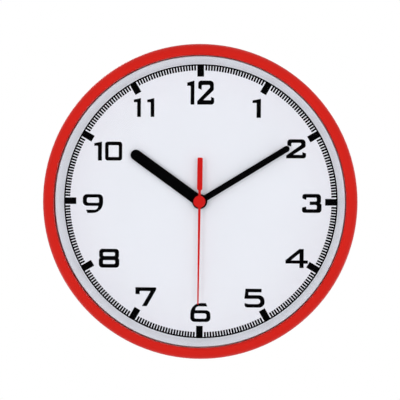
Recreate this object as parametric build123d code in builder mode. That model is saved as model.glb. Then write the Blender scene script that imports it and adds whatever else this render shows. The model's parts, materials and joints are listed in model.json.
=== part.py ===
from build123d import *
import os
from math import acos, cos, hypot, pi, radians, sin, tan

# Quartz wall clock: a moulded rim and lens over a printed dial, three hands, and a clipped-in
# battery movement. Millimetres. The origin is on the hands' axis in the wall plane, +Z is up
# and the dial faces -Y. "Height" means the distance from the wall towards the viewer.

# Depth stack, from the wall to the crest of the rim
wall_gap = 2.0              # wall to the back of the movement
plate_thickness = 2.0       # floor of the case back, which carries the dial
dial_thickness = 0.5
lens_room = 2.2             # second hand's cap to the underside of the lens
lens_thickness = 1.5
lip_depth = 4.0             # lens to the crest of the rim

# Rim and lens
case_radius = 100.0         # widest point of the rim
rim_face = 7.3              # width of the rim as the viewer sees it
lip_round = 1.2
crest_flat = 0.6
side_taper = 2.5            # how far the side draws in towards the wall
lens_margin = 2.6           # lens edge hidden under the lip
lens_bevel = 0.3
bead_depth = 0.4            # bead that holds the lens in from behind
bead_height = 1.0
groove_height = 5.2         # snap groove inside the rim
groove_width = 3.0
groove_depth = 0.8
fit_gap = 0.2               # radial gap of the moulded fits

# Spacer ring between dial and lens
spacer_slope = 3.6          # radial width of its slope, from the dial to its top edge
spacer_wall = 1.3
spacer_foot = 1.5
spacer_edge = 0.5           # rounded top edge
spacer_gap = 0.4            # to the underside of the lens
shadow_gap = 0.3            # open gap between its top edge and the lip
dial_margin = 1.2           # dial edge trapped under the slope
peg_radius = 1.0
peg_length = 2.6
peg_count = 4

# Case back
skirt_wall = 2.0
skirt_back = 2.0            # rear edge of the skirt above the wall
rib_thickness = 1.4
rib_height = 5.0
rib_count = 8
ring_margin = 1.07          # stiffening ring outside the pocket frame's corners
pocket_height = 3.0         # frame that locates the movement
lug_count = 6
lug_arc = 10.0
lug_height = 1.8
slot_width = 1.2            # slots that let each snap lug flex
slot_height = 10.0
slot_spread = 14.0          # angle between the two slots of one lug
hook_width = 12.0
hook_thickness = 1.8
hook_reach = 1.2
hook_tip = 0.6              # rear end of the hooks above the wall
hanger_width = 26.0
hanger_length = 32.0
hanger_centre = 62.0        # above the hands' axis
hanger_back = 1.5
hanger_wall = 2.2
keyhole_drop = 5.0          # centre of the round entry below the hanger's centre
keyhole_radius = 4.5
keyhole_slot = 2.4          # half width of the slot
keyhole_rise = 10.0

# Hands
hour_length = 54.2
hour_width = 7.15
hour_tip_width = 7.0
minute_length = 66.7
minute_width = 4.0
minute_tip_width = 3.95
hand_boss_radius = 4.8
hand_sheet = 0.4
second_sheet = 0.3
second_length = 65.6
second_width = 1.7
second_tip_width = 0.9
tail_length = 28.1
tail_width = 3.4
tail_start = 7.3
tail_round = 0.8
cap_radius = 3.85
cap_height = 1.0
cap_round = 0.35
hub_tube_radius = 0.9
hour_hand_lift = 2.2        # underside of the hour hand above the dial
minute_gap = 1.6            # hour hand to minute hand
second_gap = 1.4            # minute hand to second hand
pipe_stand = 0.4            # how far each pipe stands out of its hand
hour_angle = 306.0          # clockwise from twelve
minute_angle = 58.8
second_angle = 180.9

# Movement shell
movement_corner = 2.5
housing_wall = 1.2
cover_thickness = 1.2
collar_radius = 4.0
collar_stand = 0.6          # collar above the dial
wheel_room = 0.56           # teeth of the minute wheel to the wall of the battery bay
motor_room = 2.3            # arm of the stator to the side wall
coil_room = 1.7             # flange of the coil to the top wall
front_room = 0.3            # hour wheel to the front wall
plate_clearance = 0.5       # train plate to the housing walls
train_plate_thickness = 1.2
post_radius = 1.6
boss_wall = 1.1
rotor_boss = 1.05           # height of the rotor's rear bearing
third_boss = 0.9            # height of the third wheel's front bearing
pivot_depth = 1.2
pocket_gap = 0.25           # movement in its pocket

# Wheel train
pressure_angle = radians(25)
addendum = 0.8              # of the module
dedendum = 1.05             # of the module
backlash = 0.12
wheel_thickness = 0.8
layer_gap = 0.5
pinion_overhang = 0.2       # pinions are this much longer than the wheels they drive
pivot_radius = 0.4
motion_stud_radius = 0.75
running_gap = 0.05
press_gap = 0.02
arbor_radius = 0.5
minute_pipe_radius = 1.6
hour_pipe_radius = 2.5
clutch_radius = 1.5
clutch_lip = 0.4
washer_radius = 3.2
washer_thickness = 0.25
train_module = 0.25
motion_distance = 9.0       # centre line to the motion wheel
rotor_teeth, intermediate_teeth = 10, 60
intermediate_pinion, seconds_teeth = 12, 60
seconds_pinion, third_teeth = 10, 80
third_pinion, minute_teeth = 10, 75
cannon_teeth, motion_teeth = 12, 36
motion_pinion, hour_teeth = 10, 40
setting_teeth = 14
curved_flank_teeth = 20     # larger wheels have all but straight flanks
intermediate_bearing = radians(175)
rotor_bearing = radians(160)
third_bearing = radians(60)
motion_bearing = radians(-10)
setting_bearing = radians(10)

# Time setting
setting_shaft_radius = 1.2
knob_radius = 6.3
knob_height = 4.0
knob_back = 1.0
knob_hub_radius = 2.5
knob_hub_height = 1.25
knob_flutes = 24
flute_radius = 0.5
well_gap = 1.0

# Motor
magnet_radius = 3.0
magnet_height = 2.2
magnet_bore = 1.0
stator_thickness = 1.0
stator_air_gap = 0.5
stator_half_width = 5.5
arm_width = 3.6
coil_rise = 18.0            # coil axis above the rotor
coil_span = 18.0            # between the two ends of its core
core_width = 3.6
bobbin_wall = 0.5
flange_room = 0.35          # flange of the bobbin to the cover
flange_thickness = 0.8
winding_margin = 0.3        # winding below the edge of the flange

# Electronics
board_gap = 1.2             # board to the arm of the stator
board_length = 11.5
board_thickness = 1.0
board_post_spread = 15.0
chip_radius = 3.4
chip_height = 1.2
crystal_radius = 1.0
crystal_length = 6.2

# Battery, a round cell of the common 14 by 50 size, and its contacts
cell_radius = 7.1
cell_length = 49.2
nub_radius = 2.7
nub_height = 1.2
cell_edge = 0.6
cell_lift = 0.5             # cell to the plane of the movement's back
cell_room = 0.6             # cell to the front wall
bay_gap = 0.35              # cell to the long walls of the bay
pole_room = 1.0             # plate and boss of the contact at the raised pole
spring_room = 2.2           # bowed leaf of the contact at the flat end
cradle_gap = 0.15
cradle_thickness = 1.5
cradle_offset = 14.0
strip_thickness = 0.3
strip_width = 3.0
contact_size = 9.0
contact_gap = 0.05
tab_length = 3.0

# Heights of the movement, from its cover towards the dial
movement_back = wall_gap
cover_inside = movement_back + cover_thickness
magnet_low = cover_inside + rotor_boss + layer_gap
magnet_top = magnet_low + magnet_height
stator_low = (magnet_top + magnet_low - stator_thickness) / 2
stator_top = stator_low + stator_thickness
core_top = stator_top + stator_thickness
rotor_pinion_low = magnet_top + layer_gap
intermediate_low = rotor_pinion_low + pinion_overhang
intermediate_top = intermediate_low + wheel_thickness
rotor_pinion_top = intermediate_top + pinion_overhang
seconds_wheel_low = intermediate_top + layer_gap
seconds_wheel_top = seconds_wheel_low + wheel_thickness
third_wheel_low = seconds_wheel_top + layer_gap
third_wheel_top = third_wheel_low + wheel_thickness
train_plate_low = third_wheel_top + layer_gap
train_plate_top = train_plate_low + train_plate_thickness
clutch_low = train_plate_top + layer_gap
washer_low = clutch_low + washer_thickness + running_gap
minute_wheel_low = washer_low + washer_thickness + running_gap
minute_wheel_top = minute_wheel_low + wheel_thickness
cannon_low = minute_wheel_top + running_gap
motion_wheel_low = cannon_low + pinion_overhang
motion_wheel_top = motion_wheel_low + wheel_thickness
cannon_top = motion_wheel_top + pinion_overhang
hour_wheel_low = motion_wheel_top + layer_gap
hour_wheel_top = hour_wheel_low + wheel_thickness
cell_height = movement_back + cell_lift + cell_radius
front_inside = max(hour_wheel_top + front_room, cell_height + cell_radius + cell_room)
movement_front = front_inside + housing_wall
movement_depth = movement_front - movement_back

# Heights of the case and the hands
plate_back = movement_front
plate_front = plate_back + plate_thickness
dial_front = plate_front + dial_thickness
hour_hand_low = dial_front + hour_hand_lift
minute_hand_low = hour_hand_low + hand_sheet + minute_gap
second_hand_low = minute_hand_low + hand_sheet + second_gap
cap_low = second_hand_low + second_sheet
lens_back = cap_low + cap_height + lens_room
lens_front = lens_back + lens_thickness
case_depth = lens_front + lip_depth
spacer_top = lens_back - spacer_gap

# Radii that follow from the rim
lip_radius = case_radius - rim_face
rim_round = rim_face - lip_round - crest_flat
rim_widest = case_depth - rim_round
lens_radius = lip_radius + lens_margin
rim_bore = lens_radius + fit_gap
skirt_radius = rim_bore - fit_gap
skirt_inside = skirt_radius - skirt_wall
spacer_top_radius = lip_radius - shadow_gap
spacer_foot_radius = spacer_top_radius - spacer_edge - spacer_slope
dial_radius = spacer_foot_radius + dial_margin
spacer_rim_radius = skirt_inside - fit_gap
peg_circle = (dial_radius + fit_gap + spacer_rim_radius) / 2


def away(start, distance, bearing):
    """Point at a distance from a start point, in the plane of the dial."""
    return (start[0] + distance * cos(bearing), start[1] + distance * sin(bearing))


def centre_distance(teeth_a, teeth_b, module):
    """Distance between the axes of two meshed wheels."""
    return (teeth_a + teeth_b) * module / 2


def mesh_phase(teeth, phase, other_teeth, bearing):
    """Angle of a tooth on a wheel that meshes, along a bearing, with a wheel of a known phase."""
    offset = (bearing - phase) * teeth / (2 * pi)
    return bearing + pi - (0.5 - offset) * 2 * pi / other_teeth


# Places of the axes, as x and z, and the modules that follow from their distances
centre = (0.0, 0.0)
intermediate_reach = centre_distance(intermediate_pinion, seconds_teeth, train_module)
rotor_reach = centre_distance(rotor_teeth, intermediate_teeth, train_module)
third_reach = centre_distance(seconds_pinion, third_teeth, train_module)
minute_module = 2 * third_reach / (third_pinion + minute_teeth)
cannon_module = 2 * motion_distance / (cannon_teeth + motion_teeth)
hour_module = 2 * motion_distance / (motion_pinion + hour_teeth)
setting_reach = centre_distance(setting_teeth, motion_teeth, cannon_module)
intermediate_at = away(centre, intermediate_reach, intermediate_bearing)
rotor_at = away(intermediate_at, rotor_reach, rotor_bearing)
third_at = away(centre, third_reach, third_bearing)
motion_at = away(centre, motion_distance, motion_bearing)
setting_at = away(motion_at, setting_reach, setting_bearing)

# Phases that put every pair of wheels in mesh at rest
intermediate_pinion_phase = mesh_phase(seconds_teeth, 0, intermediate_pinion, intermediate_bearing)
rotor_phase = mesh_phase(intermediate_teeth, 0, rotor_teeth, rotor_bearing)
third_phase = mesh_phase(seconds_pinion, 0, third_teeth, third_bearing)
minute_phase = mesh_phase(third_pinion, 0, minute_teeth, third_bearing + pi)
motion_phase = mesh_phase(cannon_teeth, 0, motion_teeth, motion_bearing)
hour_phase = mesh_phase(motion_pinion, 0, hour_teeth, motion_bearing + pi)
setting_phase = mesh_phase(motion_teeth, motion_phase, setting_teeth, setting_bearing)

# Inside of the movement: as wide as the cell, the motor, the minute wheel and the knob need
well_radius = knob_radius + well_gap
well_floor = knob_back + knob_height + knob_hub_height
core_middle = stator_top + stator_thickness / 2
core_hole = (core_width + 2 * running_gap, stator_thickness + 2 * running_gap)
bobbin_barrel = hypot(*core_hole) / 2 + bobbin_wall
bobbin_flange = core_middle - cover_inside - flange_room
winding_radius = bobbin_flange - winding_margin
coil_at = (rotor_at[0] - stator_half_width + coil_span / 2, rotor_at[1] + coil_rise)
minute_tip = (minute_teeth / 2 + addendum) * minute_module
bay_height = 2 * (cell_radius + bay_gap)
half_inside = max(
    (cell_length + nub_height + pole_room + spring_room) / 2,
    minute_tip + wheel_room + housing_wall + bay_height,
    setting_at[0] + well_radius + cover_thickness + fit_gap,
    motor_room + arm_width / 2 + stator_half_width - rotor_at[0],
    coil_at[1] + bobbin_flange + coil_room,
)
half_size = half_inside + housing_wall
movement_size = 2 * half_size
bay_top = bay_height - half_inside
train_floor = bay_top + housing_wall
cell_z = bay_top - bay_height / 2
cell_left = spring_room - half_inside
cell_right = cell_left + cell_length
plate_half = half_inside - plate_clearance
board_low = stator_low
board_top = board_low + board_thickness
board_left = coil_at[0] + (coil_span + arm_width) / 2 + board_gap
board_width = plate_half - board_left
board_at = (plate_half - board_width / 2, plate_half - board_length / 2)
strip_low = (train_plate_top + train_plate_low - strip_width) / 2
pocket_half = half_size + pocket_gap
rib_ring_radius = hypot(pocket_half + rib_thickness, pocket_half + rib_thickness) + ring_margin
keyhole_entry = hanger_centre - keyhole_drop


def face_plane(height, at=centre):
    """Plane parallel to the dial at a height, x to the right and y up as the viewer sees it."""
    return Plane(origin=(at[0], -height, at[1]), x_dir=(1, 0, 0), z_dir=(0, -1, 0))


def section_plane(at=centre, turn=0.0):
    """Plane through an axis square to the dial: x is the radius, y is the height."""
    angle = radians(turn)
    return Plane(
        origin=(at[0], 0, at[1]),
        x_dir=(cos(angle), 0, sin(angle)),
        z_dir=(sin(angle), 0, -cos(angle)),
    )


def turning_axis(at=centre):
    """Axis square to the dial."""
    return Axis((at[0], 0, at[1]), (0, 1, 0))


def rod(low, high, radius, at=centre, mode=Mode.ADD):
    """Round rod, or round hole, between two heights."""
    with BuildSketch(face_plane(low, at)) as disc:
        Circle(radius)
    extrude(disc.sketch, amount=high - low, mode=mode)


def slab(low, high, x_range, z_range, mode=Mode.ADD):
    """Rectangular block, or pocket, between two heights."""
    middle = ((x_range[0] + x_range[1]) / 2, (z_range[0] + z_range[1]) / 2)
    with BuildSketch(face_plane(low, middle)) as footprint:
        Rectangle(x_range[1] - x_range[0], z_range[1] - z_range[0])
    extrude(footprint.sketch, amount=high - low, mode=mode)


def gear_teeth(low, high, teeth, module, phase, at=centre):
    """Spur wheel with involute flanks between two heights, one tooth centred on the phase."""
    pitch = teeth * module / 2
    base = pitch * cos(pressure_angle)
    root = pitch - dedendum * module
    tip = pitch + addendum * module
    start = max(root, base)
    middle = (start + tip) / 2

    def half_angle(radius):
        slant = acos(min(1.0, base / radius))
        roll = tan(pressure_angle) - pressure_angle - tan(slant) + slant
        return pi / (2 * teeth) - backlash / (4 * pitch) + roll

    def point(radius, angle):
        return (radius * cos(angle), radius * sin(angle))

    def flank(side, line):
        ends = [point(radius, line + side * half_angle(radius)) for radius in (start, middle, tip)]
        if teeth > curved_flank_teeth:
            Line(ends[0], ends[2])
        else:
            ThreePointArc(*ends)

    with BuildSketch(face_plane(low, at)) as wheel:
        with BuildLine():
            for tooth in range(teeth):
                line = phase + tooth * 2 * pi / teeth
                foot, crown = half_angle(start), half_angle(tip)
                following = line + 2 * pi / teeth
                if root < start:
                    Line(point(root, line - foot), point(start, line - foot))
                    Line(point(start, line + foot), point(root, line + foot))
                flank(-1, line)
                Line(point(tip, line - crown), point(tip, line + crown))
                flank(1, line)
                Line(point(root, line + foot), point(root, following - foot))
        make_face()
    extrude(wheel.sketch, amount=high - low)


# Rim: one turned profile, with a lens seat, a retaining bead and a snap groove inside
rim_back_radius = case_radius - side_taper
side_middle = (case_radius - side_taper / 4, rim_widest / 2)
bead_low = lens_back - running_gap - bead_height
groove_top = groove_height + groove_width
with BuildPart() as bezel:
    with BuildSketch(section_plane()):
        with BuildLine():
            ThreePointArc((rim_back_radius, 0), side_middle, (case_radius, rim_widest))
            RadiusArc((case_radius, rim_widest), (case_radius - rim_round, case_depth), -rim_round)
            Line((case_radius - rim_round, case_depth), (lip_radius + lip_round, case_depth))
            RadiusArc((lip_radius + lip_round, case_depth), (lip_radius, case_depth - lip_round), -lip_round)
            Polyline(
                (lip_radius, case_depth - lip_round),
                (lip_radius, lens_front),
                (rim_bore, lens_front),
                (rim_bore, lens_back - running_gap),
                (rim_bore - bead_depth, lens_back - running_gap - bead_depth / 2),
                (rim_bore, bead_low),
                (rim_bore, groove_top),
                (rim_bore + groove_depth, groove_top - groove_depth),
                (rim_bore + groove_depth, groove_height + groove_depth),
                (rim_bore, groove_height),
                (rim_bore, 0),
                (rim_back_radius, 0),
            )
        make_face()
    revolve(axis=turning_axis())

# Lens: a flat clear plate with bevelled edges
with BuildPart() as lens:
    rod(lens_back, lens_front, lens_radius)
    chamfer(lens.edges().filter_by(GeomType.CIRCLE), lens_bevel)

# Spacer ring: a sloping wall on a foot that traps the edge of the dial
with BuildPart() as spacer_ring:
    slope = (spacer_top_radius - spacer_edge - spacer_foot_radius) / (spacer_top - dial_front)
    outer_foot = spacer_foot_radius + slope * spacer_foot + spacer_wall
    with BuildSketch(section_plane()):
        with BuildLine():
            Polyline(
                (spacer_top_radius, spacer_top - spacer_edge),
                (outer_foot, plate_front + spacer_foot),
                (spacer_rim_radius, plate_front + spacer_foot),
                (spacer_rim_radius, plate_front),
                (dial_radius + fit_gap, plate_front),
                (dial_radius + fit_gap, dial_front),
                (spacer_foot_radius, dial_front),
                (spacer_top_radius - spacer_edge, spacer_top),
            )
            RadiusArc(
                (spacer_top_radius - spacer_edge, spacer_top),
                (spacer_top_radius, spacer_top - spacer_edge),
                spacer_edge,
            )
        make_face()
    revolve(axis=turning_axis())
    with BuildSketch(face_plane(plate_front)):
        with PolarLocations(peg_circle, peg_count, start_angle=180 / rib_count):
            Circle(peg_radius)
    extrude(amount=-peg_length)

# Dial: a printed card with a hole for the movement's collar
with BuildPart() as dial:
    rod(plate_front, dial_front, dial_radius)
    rod(plate_front, dial_front, collar_radius + fit_gap, mode=Mode.SUBTRACT)

# Case back: a pan with ribs, snap lugs, a pocket and hooks for the movement, and a hanger
with BuildPart() as case_back:
    with BuildSketch(section_plane()):
        with BuildLine():
            Polyline(
                (collar_radius + fit_gap / 2, plate_front),
                (collar_radius + fit_gap / 2, plate_back),
                (skirt_inside, plate_back),
                (skirt_inside, skirt_back),
                (skirt_radius, skirt_back),
                (skirt_radius, plate_front),
                close=True,
            )
        make_face()
    revolve(axis=turning_axis())

    # stiffening ribs: a ring, and spokes out to the skirt
    rib_length = skirt_inside - rib_ring_radius + rib_thickness
    with BuildSketch(face_plane(plate_back)):
        Circle(rib_ring_radius)
        Circle(rib_ring_radius - rib_thickness, mode=Mode.SUBTRACT)
        with PolarLocations(rib_ring_radius + (rib_length - rib_thickness) / 2, rib_count):
            Rectangle(rib_length, rib_thickness)
    extrude(amount=-rib_height)

    # pocket frame round the movement
    with BuildSketch(face_plane(plate_back)):
        Rectangle(2 * (pocket_half + rib_thickness), 2 * (pocket_half + rib_thickness))
        Rectangle(2 * pocket_half, 2 * pocket_half, mode=Mode.SUBTRACT)
    extrude(amount=-pocket_height)

    # two hooks that clip over the back of the movement
    catch = movement_back - 2 * running_gap
    for side in (-1, 1):
        with BuildSketch(section_plane()):
            with BuildLine():
                Polyline(
                    (side * pocket_half, plate_back),
                    (side * pocket_half, catch),
                    (side * (pocket_half - hook_reach), catch),
                    (side * pocket_half, hook_tip),
                    (side * (pocket_half + hook_thickness), hook_tip),
                    (side * (pocket_half + hook_thickness), plate_back),
                    close=True,
                )
            make_face()
        extrude(amount=hook_width / 2, both=True)

    # snap lugs on the skirt, each on a tongue between two slots
    lug_low = groove_height + groove_depth + running_gap
    lug_reach = groove_depth - 2 * fit_gap
    for lug in range(lug_count):
        turn = (lug + 0.5) * 360 / lug_count
        with BuildSketch(section_plane(turn=turn + lug_arc / 2)):
            with BuildLine():
                Polyline(
                    (skirt_radius - skirt_wall / 2, lug_low),
                    (skirt_radius + lug_reach, lug_low),
                    (skirt_radius + lug_reach, lug_low + lug_height / 3),
                    (skirt_radius, lug_low + lug_height / 2),
                    (skirt_radius - skirt_wall / 2, lug_low + lug_height / 2),
                    close=True,
                )
            make_face()
        revolve(axis=turning_axis(), revolution_arc=lug_arc)
        with BuildSketch(face_plane(skirt_back)):
            with PolarLocations(
                skirt_radius, 2, start_angle=turn - slot_spread / 2, angular_range=2 * slot_spread
            ):
                Rectangle(3 * skirt_wall, slot_width)
        extrude(amount=slot_height, mode=Mode.SUBTRACT)

    # hanger: a hollow block with a keyhole in its wall side
    with BuildSketch(face_plane(hanger_back, (0, hanger_centre))):
        Rectangle(hanger_width, hanger_length)
    extrude(amount=plate_back - hanger_back)
    with BuildSketch(face_plane(hanger_back + hanger_wall, (0, hanger_centre))):
        Rectangle(hanger_width - 2 * hanger_wall, hanger_length - 2 * hanger_wall)
    extrude(amount=plate_back - hanger_back - hanger_wall, mode=Mode.SUBTRACT)
    with BuildSketch(face_plane(hanger_back, (0, keyhole_entry))):
        Circle(keyhole_radius)
        with Locations((0, keyhole_rise / 2)):
            Rectangle(2 * keyhole_slot, keyhole_rise)
        with Locations((0, keyhole_rise)):
            Circle(keyhole_slot)
    extrude(amount=hanger_wall, mode=Mode.SUBTRACT)

    # holes for the spacer ring's pegs
    with BuildSketch(face_plane(plate_back)):
        with PolarLocations(peg_circle, peg_count, start_angle=180 / rib_count):
            Circle(peg_radius + fit_gap / 2)
    extrude(amount=plate_thickness, mode=Mode.SUBTRACT)


def hand_plane(height, clockwise):
    """Plane of a hand, its x along the pointer."""
    angle = radians(90 - clockwise)
    return Plane(origin=(0, -height, 0), x_dir=(cos(angle), 0, sin(angle)), z_dir=(0, -1, 0))


# Hour and minute hands: flat blades with a round tip and a round boss
hour_pipe_top = hour_hand_low + hand_sheet + pipe_stand
minute_pipe_top = minute_hand_low + hand_sheet + pipe_stand


def blade(length, width, tip_width):
    """Outline of a pointer from the axis, with straight edges and a full round tip."""
    shoulder = length - tip_width / 2
    with BuildLine() as outline:
        Line((0, -width / 2), (shoulder, -tip_width / 2))
        ThreePointArc((shoulder, -tip_width / 2), (length, 0), (shoulder, tip_width / 2))
        Polyline((shoulder, tip_width / 2), (0, width / 2), (0, -width / 2))
    make_face(outline.edges())


with BuildPart() as hour_hand:
    with BuildSketch(hand_plane(hour_hand_low, hour_angle)):
        blade(hour_length, hour_width, hour_tip_width)
        Circle(hand_boss_radius)
        Circle(hour_pipe_radius + press_gap, mode=Mode.SUBTRACT)
    extrude(amount=hand_sheet)

with BuildPart() as minute_hand:
    with BuildSketch(hand_plane(minute_hand_low, minute_angle)):
        blade(minute_length, minute_width, minute_tip_width)
        Circle(hand_boss_radius)
        Circle(minute_pipe_radius + press_gap, mode=Mode.SUBTRACT)
    extrude(amount=hand_sheet)

# Second hand: a thin pointer with a flag-shaped tail, on a hub with a round cap
with BuildPart() as second_hand:
    with BuildSketch(hand_plane(second_hand_low, second_angle)):
        blade(second_length, second_width, second_tip_width)
        Circle(cap_radius)
        with Locations((-tail_start / 2, 0)):
            Rectangle(tail_start + tail_round, second_width)
        with Locations((-(tail_start + tail_length) / 2, 0)):
            RectangleRounded(tail_length - tail_start, tail_width, tail_round)
        Circle(hub_tube_radius + press_gap, mode=Mode.SUBTRACT)
    extrude(amount=second_sheet)

second_tube_low = minute_pipe_top + fit_gap
arbor_top = cap_low + cap_height / 2
with BuildPart() as second_hand_hub:
    rod(second_tube_low, cap_low, hub_tube_radius)
    rod(cap_low, cap_low + cap_height, cap_radius)
    rod(second_tube_low, arbor_top, arbor_radius + press_gap, mode=Mode.SUBTRACT)
    fillet(second_hand_hub.faces().sort_by(Axis.Y)[0].edges(), cap_round)

# Movement housing: train compartment, battery bay, collar, bearings and posts
train_height = half_inside - train_floor
train_middle = (0, (half_inside + train_floor) / 2)
bay_middle = (0, cell_z)
inner_corner = movement_corner - housing_wall
third_front = front_inside - third_boss
setting_boss = motion_wheel_top + pinion_overhang + layer_gap
plate_posts = (
    (-plate_half + 2 * post_radius, train_floor + 2 * post_radius),
    (-plate_half + 2 * post_radius, plate_half - 2 * post_radius),
    (plate_half - 2 * post_radius, plate_half - 2 * post_radius),
    (plate_half - 2 * post_radius, half_inside / 2),
)
pin_radius = post_radius / 2
with BuildPart() as movement_housing:
    with BuildSketch(face_plane(movement_back)):
        RectangleRounded(movement_size, movement_size, movement_corner)
    extrude(amount=movement_depth)
    with BuildSketch(face_plane(movement_back, train_middle)):
        RectangleRounded(2 * half_inside, train_height, inner_corner)
    extrude(amount=movement_depth - housing_wall, mode=Mode.SUBTRACT)
    with BuildSketch(face_plane(movement_back, bay_middle)):
        RectangleRounded(2 * half_inside, bay_height, inner_corner)
    extrude(amount=movement_depth - housing_wall, mode=Mode.SUBTRACT)
    cover_edge = bay_top + housing_wall / 2
    slab(movement_back, cover_inside, (-half_size, half_size), (cover_edge, half_size), mode=Mode.SUBTRACT)

    # two cradles under the cell
    for side in (-1, 1):
        cradle = Plane(origin=(side * cradle_offset, -cell_height, cell_z), x_dir=(0, 0, 1), z_dir=(1, 0, 0))
        rise = front_inside - cell_height
        with BuildSketch(cradle):
            with Locations((0, rise / 2)):
                Rectangle(bay_height, rise)
            Circle(cell_radius + cradle_gap, mode=Mode.SUBTRACT)
        extrude(amount=cradle_thickness / 2, both=True)

    # collar round the hour pipe, and the posts and bearings of the train
    rod(movement_front, dial_front + collar_stand, collar_radius)
    rod(front_inside, dial_front + collar_stand, hour_pipe_radius + running_gap, mode=Mode.SUBTRACT)
    rod(motion_wheel_low - pinion_overhang, front_inside, motion_stud_radius, at=motion_at)
    rod(third_front, front_inside, pivot_radius + boss_wall, at=third_at)
    rod(third_front, front_inside + pivot_radius, pivot_radius + running_gap, third_at, Mode.SUBTRACT)
    rod(setting_boss, front_inside, setting_shaft_radius + boss_wall / 2, at=setting_at)
    rod(setting_boss, front_inside, setting_shaft_radius / 2 + running_gap, setting_at, Mode.SUBTRACT)
    for post in plate_posts:
        rod(train_plate_top, front_inside, post_radius, at=post)
        rod(train_plate_low, train_plate_top, pin_radius, at=post)

    # slots that let the contact strips through to the board
    for side in (-1, 1):
        edge = sorted((side * half_inside, side * (half_inside - 2 * strip_thickness)))
        slab(
            strip_low - fit_gap,
            strip_low + strip_width + fit_gap,
            edge,
            (bay_top - inner_corner, train_floor + inner_corner),
            mode=Mode.SUBTRACT,
        )

# Movement cover: closes the train compartment, with rear bearings and a well for the knob
cover_bearings = (
    (centre, intermediate_low - layer_gap, arbor_radius),
    (intermediate_at, intermediate_low - layer_gap, pivot_radius),
    (third_at, third_wheel_low - layer_gap, pivot_radius),
    (rotor_at, magnet_low - layer_gap, pivot_radius),
)
with BuildPart() as movement_cover:
    with BuildSketch(face_plane(movement_back)):
        RectangleRounded(movement_size, movement_size, movement_corner)
        with Locations((0, (cover_edge + running_gap - half_size) / 2)):
            Rectangle(movement_size, half_size + cover_edge + running_gap, mode=Mode.SUBTRACT)
    extrude(amount=cover_thickness)
    for at, top, radius in cover_bearings:
        rod(cover_inside, top, radius + boss_wall, at=at)
        rod(top - pivot_depth, top, radius + running_gap, at=at, mode=Mode.SUBTRACT)
    rod(movement_back, well_floor + cover_thickness, well_radius + cover_thickness, at=setting_at)
    rod(movement_back, well_floor, well_radius, at=setting_at, mode=Mode.SUBTRACT)
    rod(
        well_floor,
        well_floor + cover_thickness,
        setting_shaft_radius + running_gap,
        at=setting_at,
        mode=Mode.SUBTRACT,
    )

# Train plate: carries the rear train, the motor and the board
stator_post = (rotor_at[0] - stator_half_width + pin_radius, rotor_at[1] - stator_half_width + 2 * pin_radius)
core_ends = [(coil_at[0] + side * coil_span / 2, coil_at[1]) for side in (-1, 1)]
board_posts = [
    (board_at[0] + side * board_post_spread / 2, board_at[1] + board_length / 2 - 1.2 * post_radius)
    for side in (-1, 1)
]
plate_notch = setting_at[0] - 2 * setting_shaft_radius
plate_step = setting_at[1] + setting_shaft_radius + 2 * post_radius
with BuildPart() as train_plate:
    with BuildSketch(face_plane(train_plate_low)) as plate_outline:
        with BuildLine():
            Polyline(
                (-plate_half, train_floor + plate_clearance),
                (plate_notch, train_floor + plate_clearance),
                (plate_notch, plate_step),
                (plate_half, plate_step),
                (plate_half, plate_half),
                (-plate_half, plate_half),
                close=True,
            )
        make_face()
        fillet(plate_outline.vertices(), inner_corner)
    extrude(amount=train_plate_thickness)
    rod(stator_top, train_plate_low, pin_radius, at=stator_post)
    for post in core_ends:
        rod(core_top, train_plate_low, post_radius, at=post)
    for post in board_posts:
        rod(board_top, train_plate_low, post_radius, at=post)
    bores = [
        (centre, arbor_radius + running_gap),
        (intermediate_at, pivot_radius + running_gap),
        (rotor_at, pivot_radius + running_gap),
        (third_at, (third_pinion / 2 + addendum) * minute_module + layer_gap / 2),
    ] + [(post, pin_radius + running_gap) for post in plate_posts]
    for at, radius in bores:
        rod(train_plate_low, train_plate_top, radius, at=at, mode=Mode.SUBTRACT)

# Rotor: a round magnet on a small pinion with long pivots
rotor_rear = magnet_low - layer_gap - pivot_depth + running_gap
with BuildPart() as rotor_pinion:
    gear_teeth(rotor_pinion_low, rotor_pinion_top, rotor_teeth, train_module, rotor_phase, rotor_at)
    rod(magnet_low, rotor_pinion_low, magnet_bore - press_gap, at=rotor_at)
    rod(rotor_rear, train_plate_top - running_gap, pivot_radius, at=rotor_at)

with BuildPart() as rotor_magnet:
    rod(magnet_low, magnet_top, magnet_radius, at=rotor_at)
    rod(magnet_low, magnet_top, magnet_bore, at=rotor_at, mode=Mode.SUBTRACT)

# Intermediate wheel: between the rotor and the seconds wheel
intermediate_rear = intermediate_low - layer_gap - pivot_depth + running_gap
with BuildPart() as intermediate_wheel:
    gear_teeth(intermediate_low, intermediate_top, intermediate_teeth, train_module, 0, intermediate_at)
    gear_teeth(
        intermediate_top,
        seconds_wheel_top + pinion_overhang,
        intermediate_pinion,
        train_module,
        intermediate_pinion_phase,
        intermediate_at,
    )
    rod(intermediate_rear, train_plate_top - running_gap, pivot_radius, at=intermediate_at)

# Seconds wheel, moulded round a steel arbor that carries the second hand
with BuildPart() as seconds_wheel:
    gear_teeth(seconds_wheel_low, seconds_wheel_top, seconds_teeth, train_module, 0)
    gear_teeth(seconds_wheel_top, third_wheel_top + pinion_overhang, seconds_pinion, train_module, 0)
    rod(
        seconds_wheel_low,
        third_wheel_top + pinion_overhang,
        arbor_radius + press_gap,
        mode=Mode.SUBTRACT,
    )

with BuildPart() as seconds_arbor:
    rod(intermediate_low - layer_gap - pivot_depth + running_gap, arbor_top - running_gap, arbor_radius)

# Third wheel: its pinion reaches through the train plate to the minute wheel
with BuildPart() as third_wheel:
    gear_teeth(third_wheel_low, third_wheel_top, third_teeth, train_module, third_phase, third_at)
    gear_teeth(
        third_wheel_top, minute_wheel_top + pinion_overhang, third_pinion, minute_module, 0, third_at
    )
    rod(
        third_wheel_low - layer_gap - pivot_depth + running_gap,
        front_inside + pivot_radius - running_gap,
        pivot_radius,
        at=third_at,
    )

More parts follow.
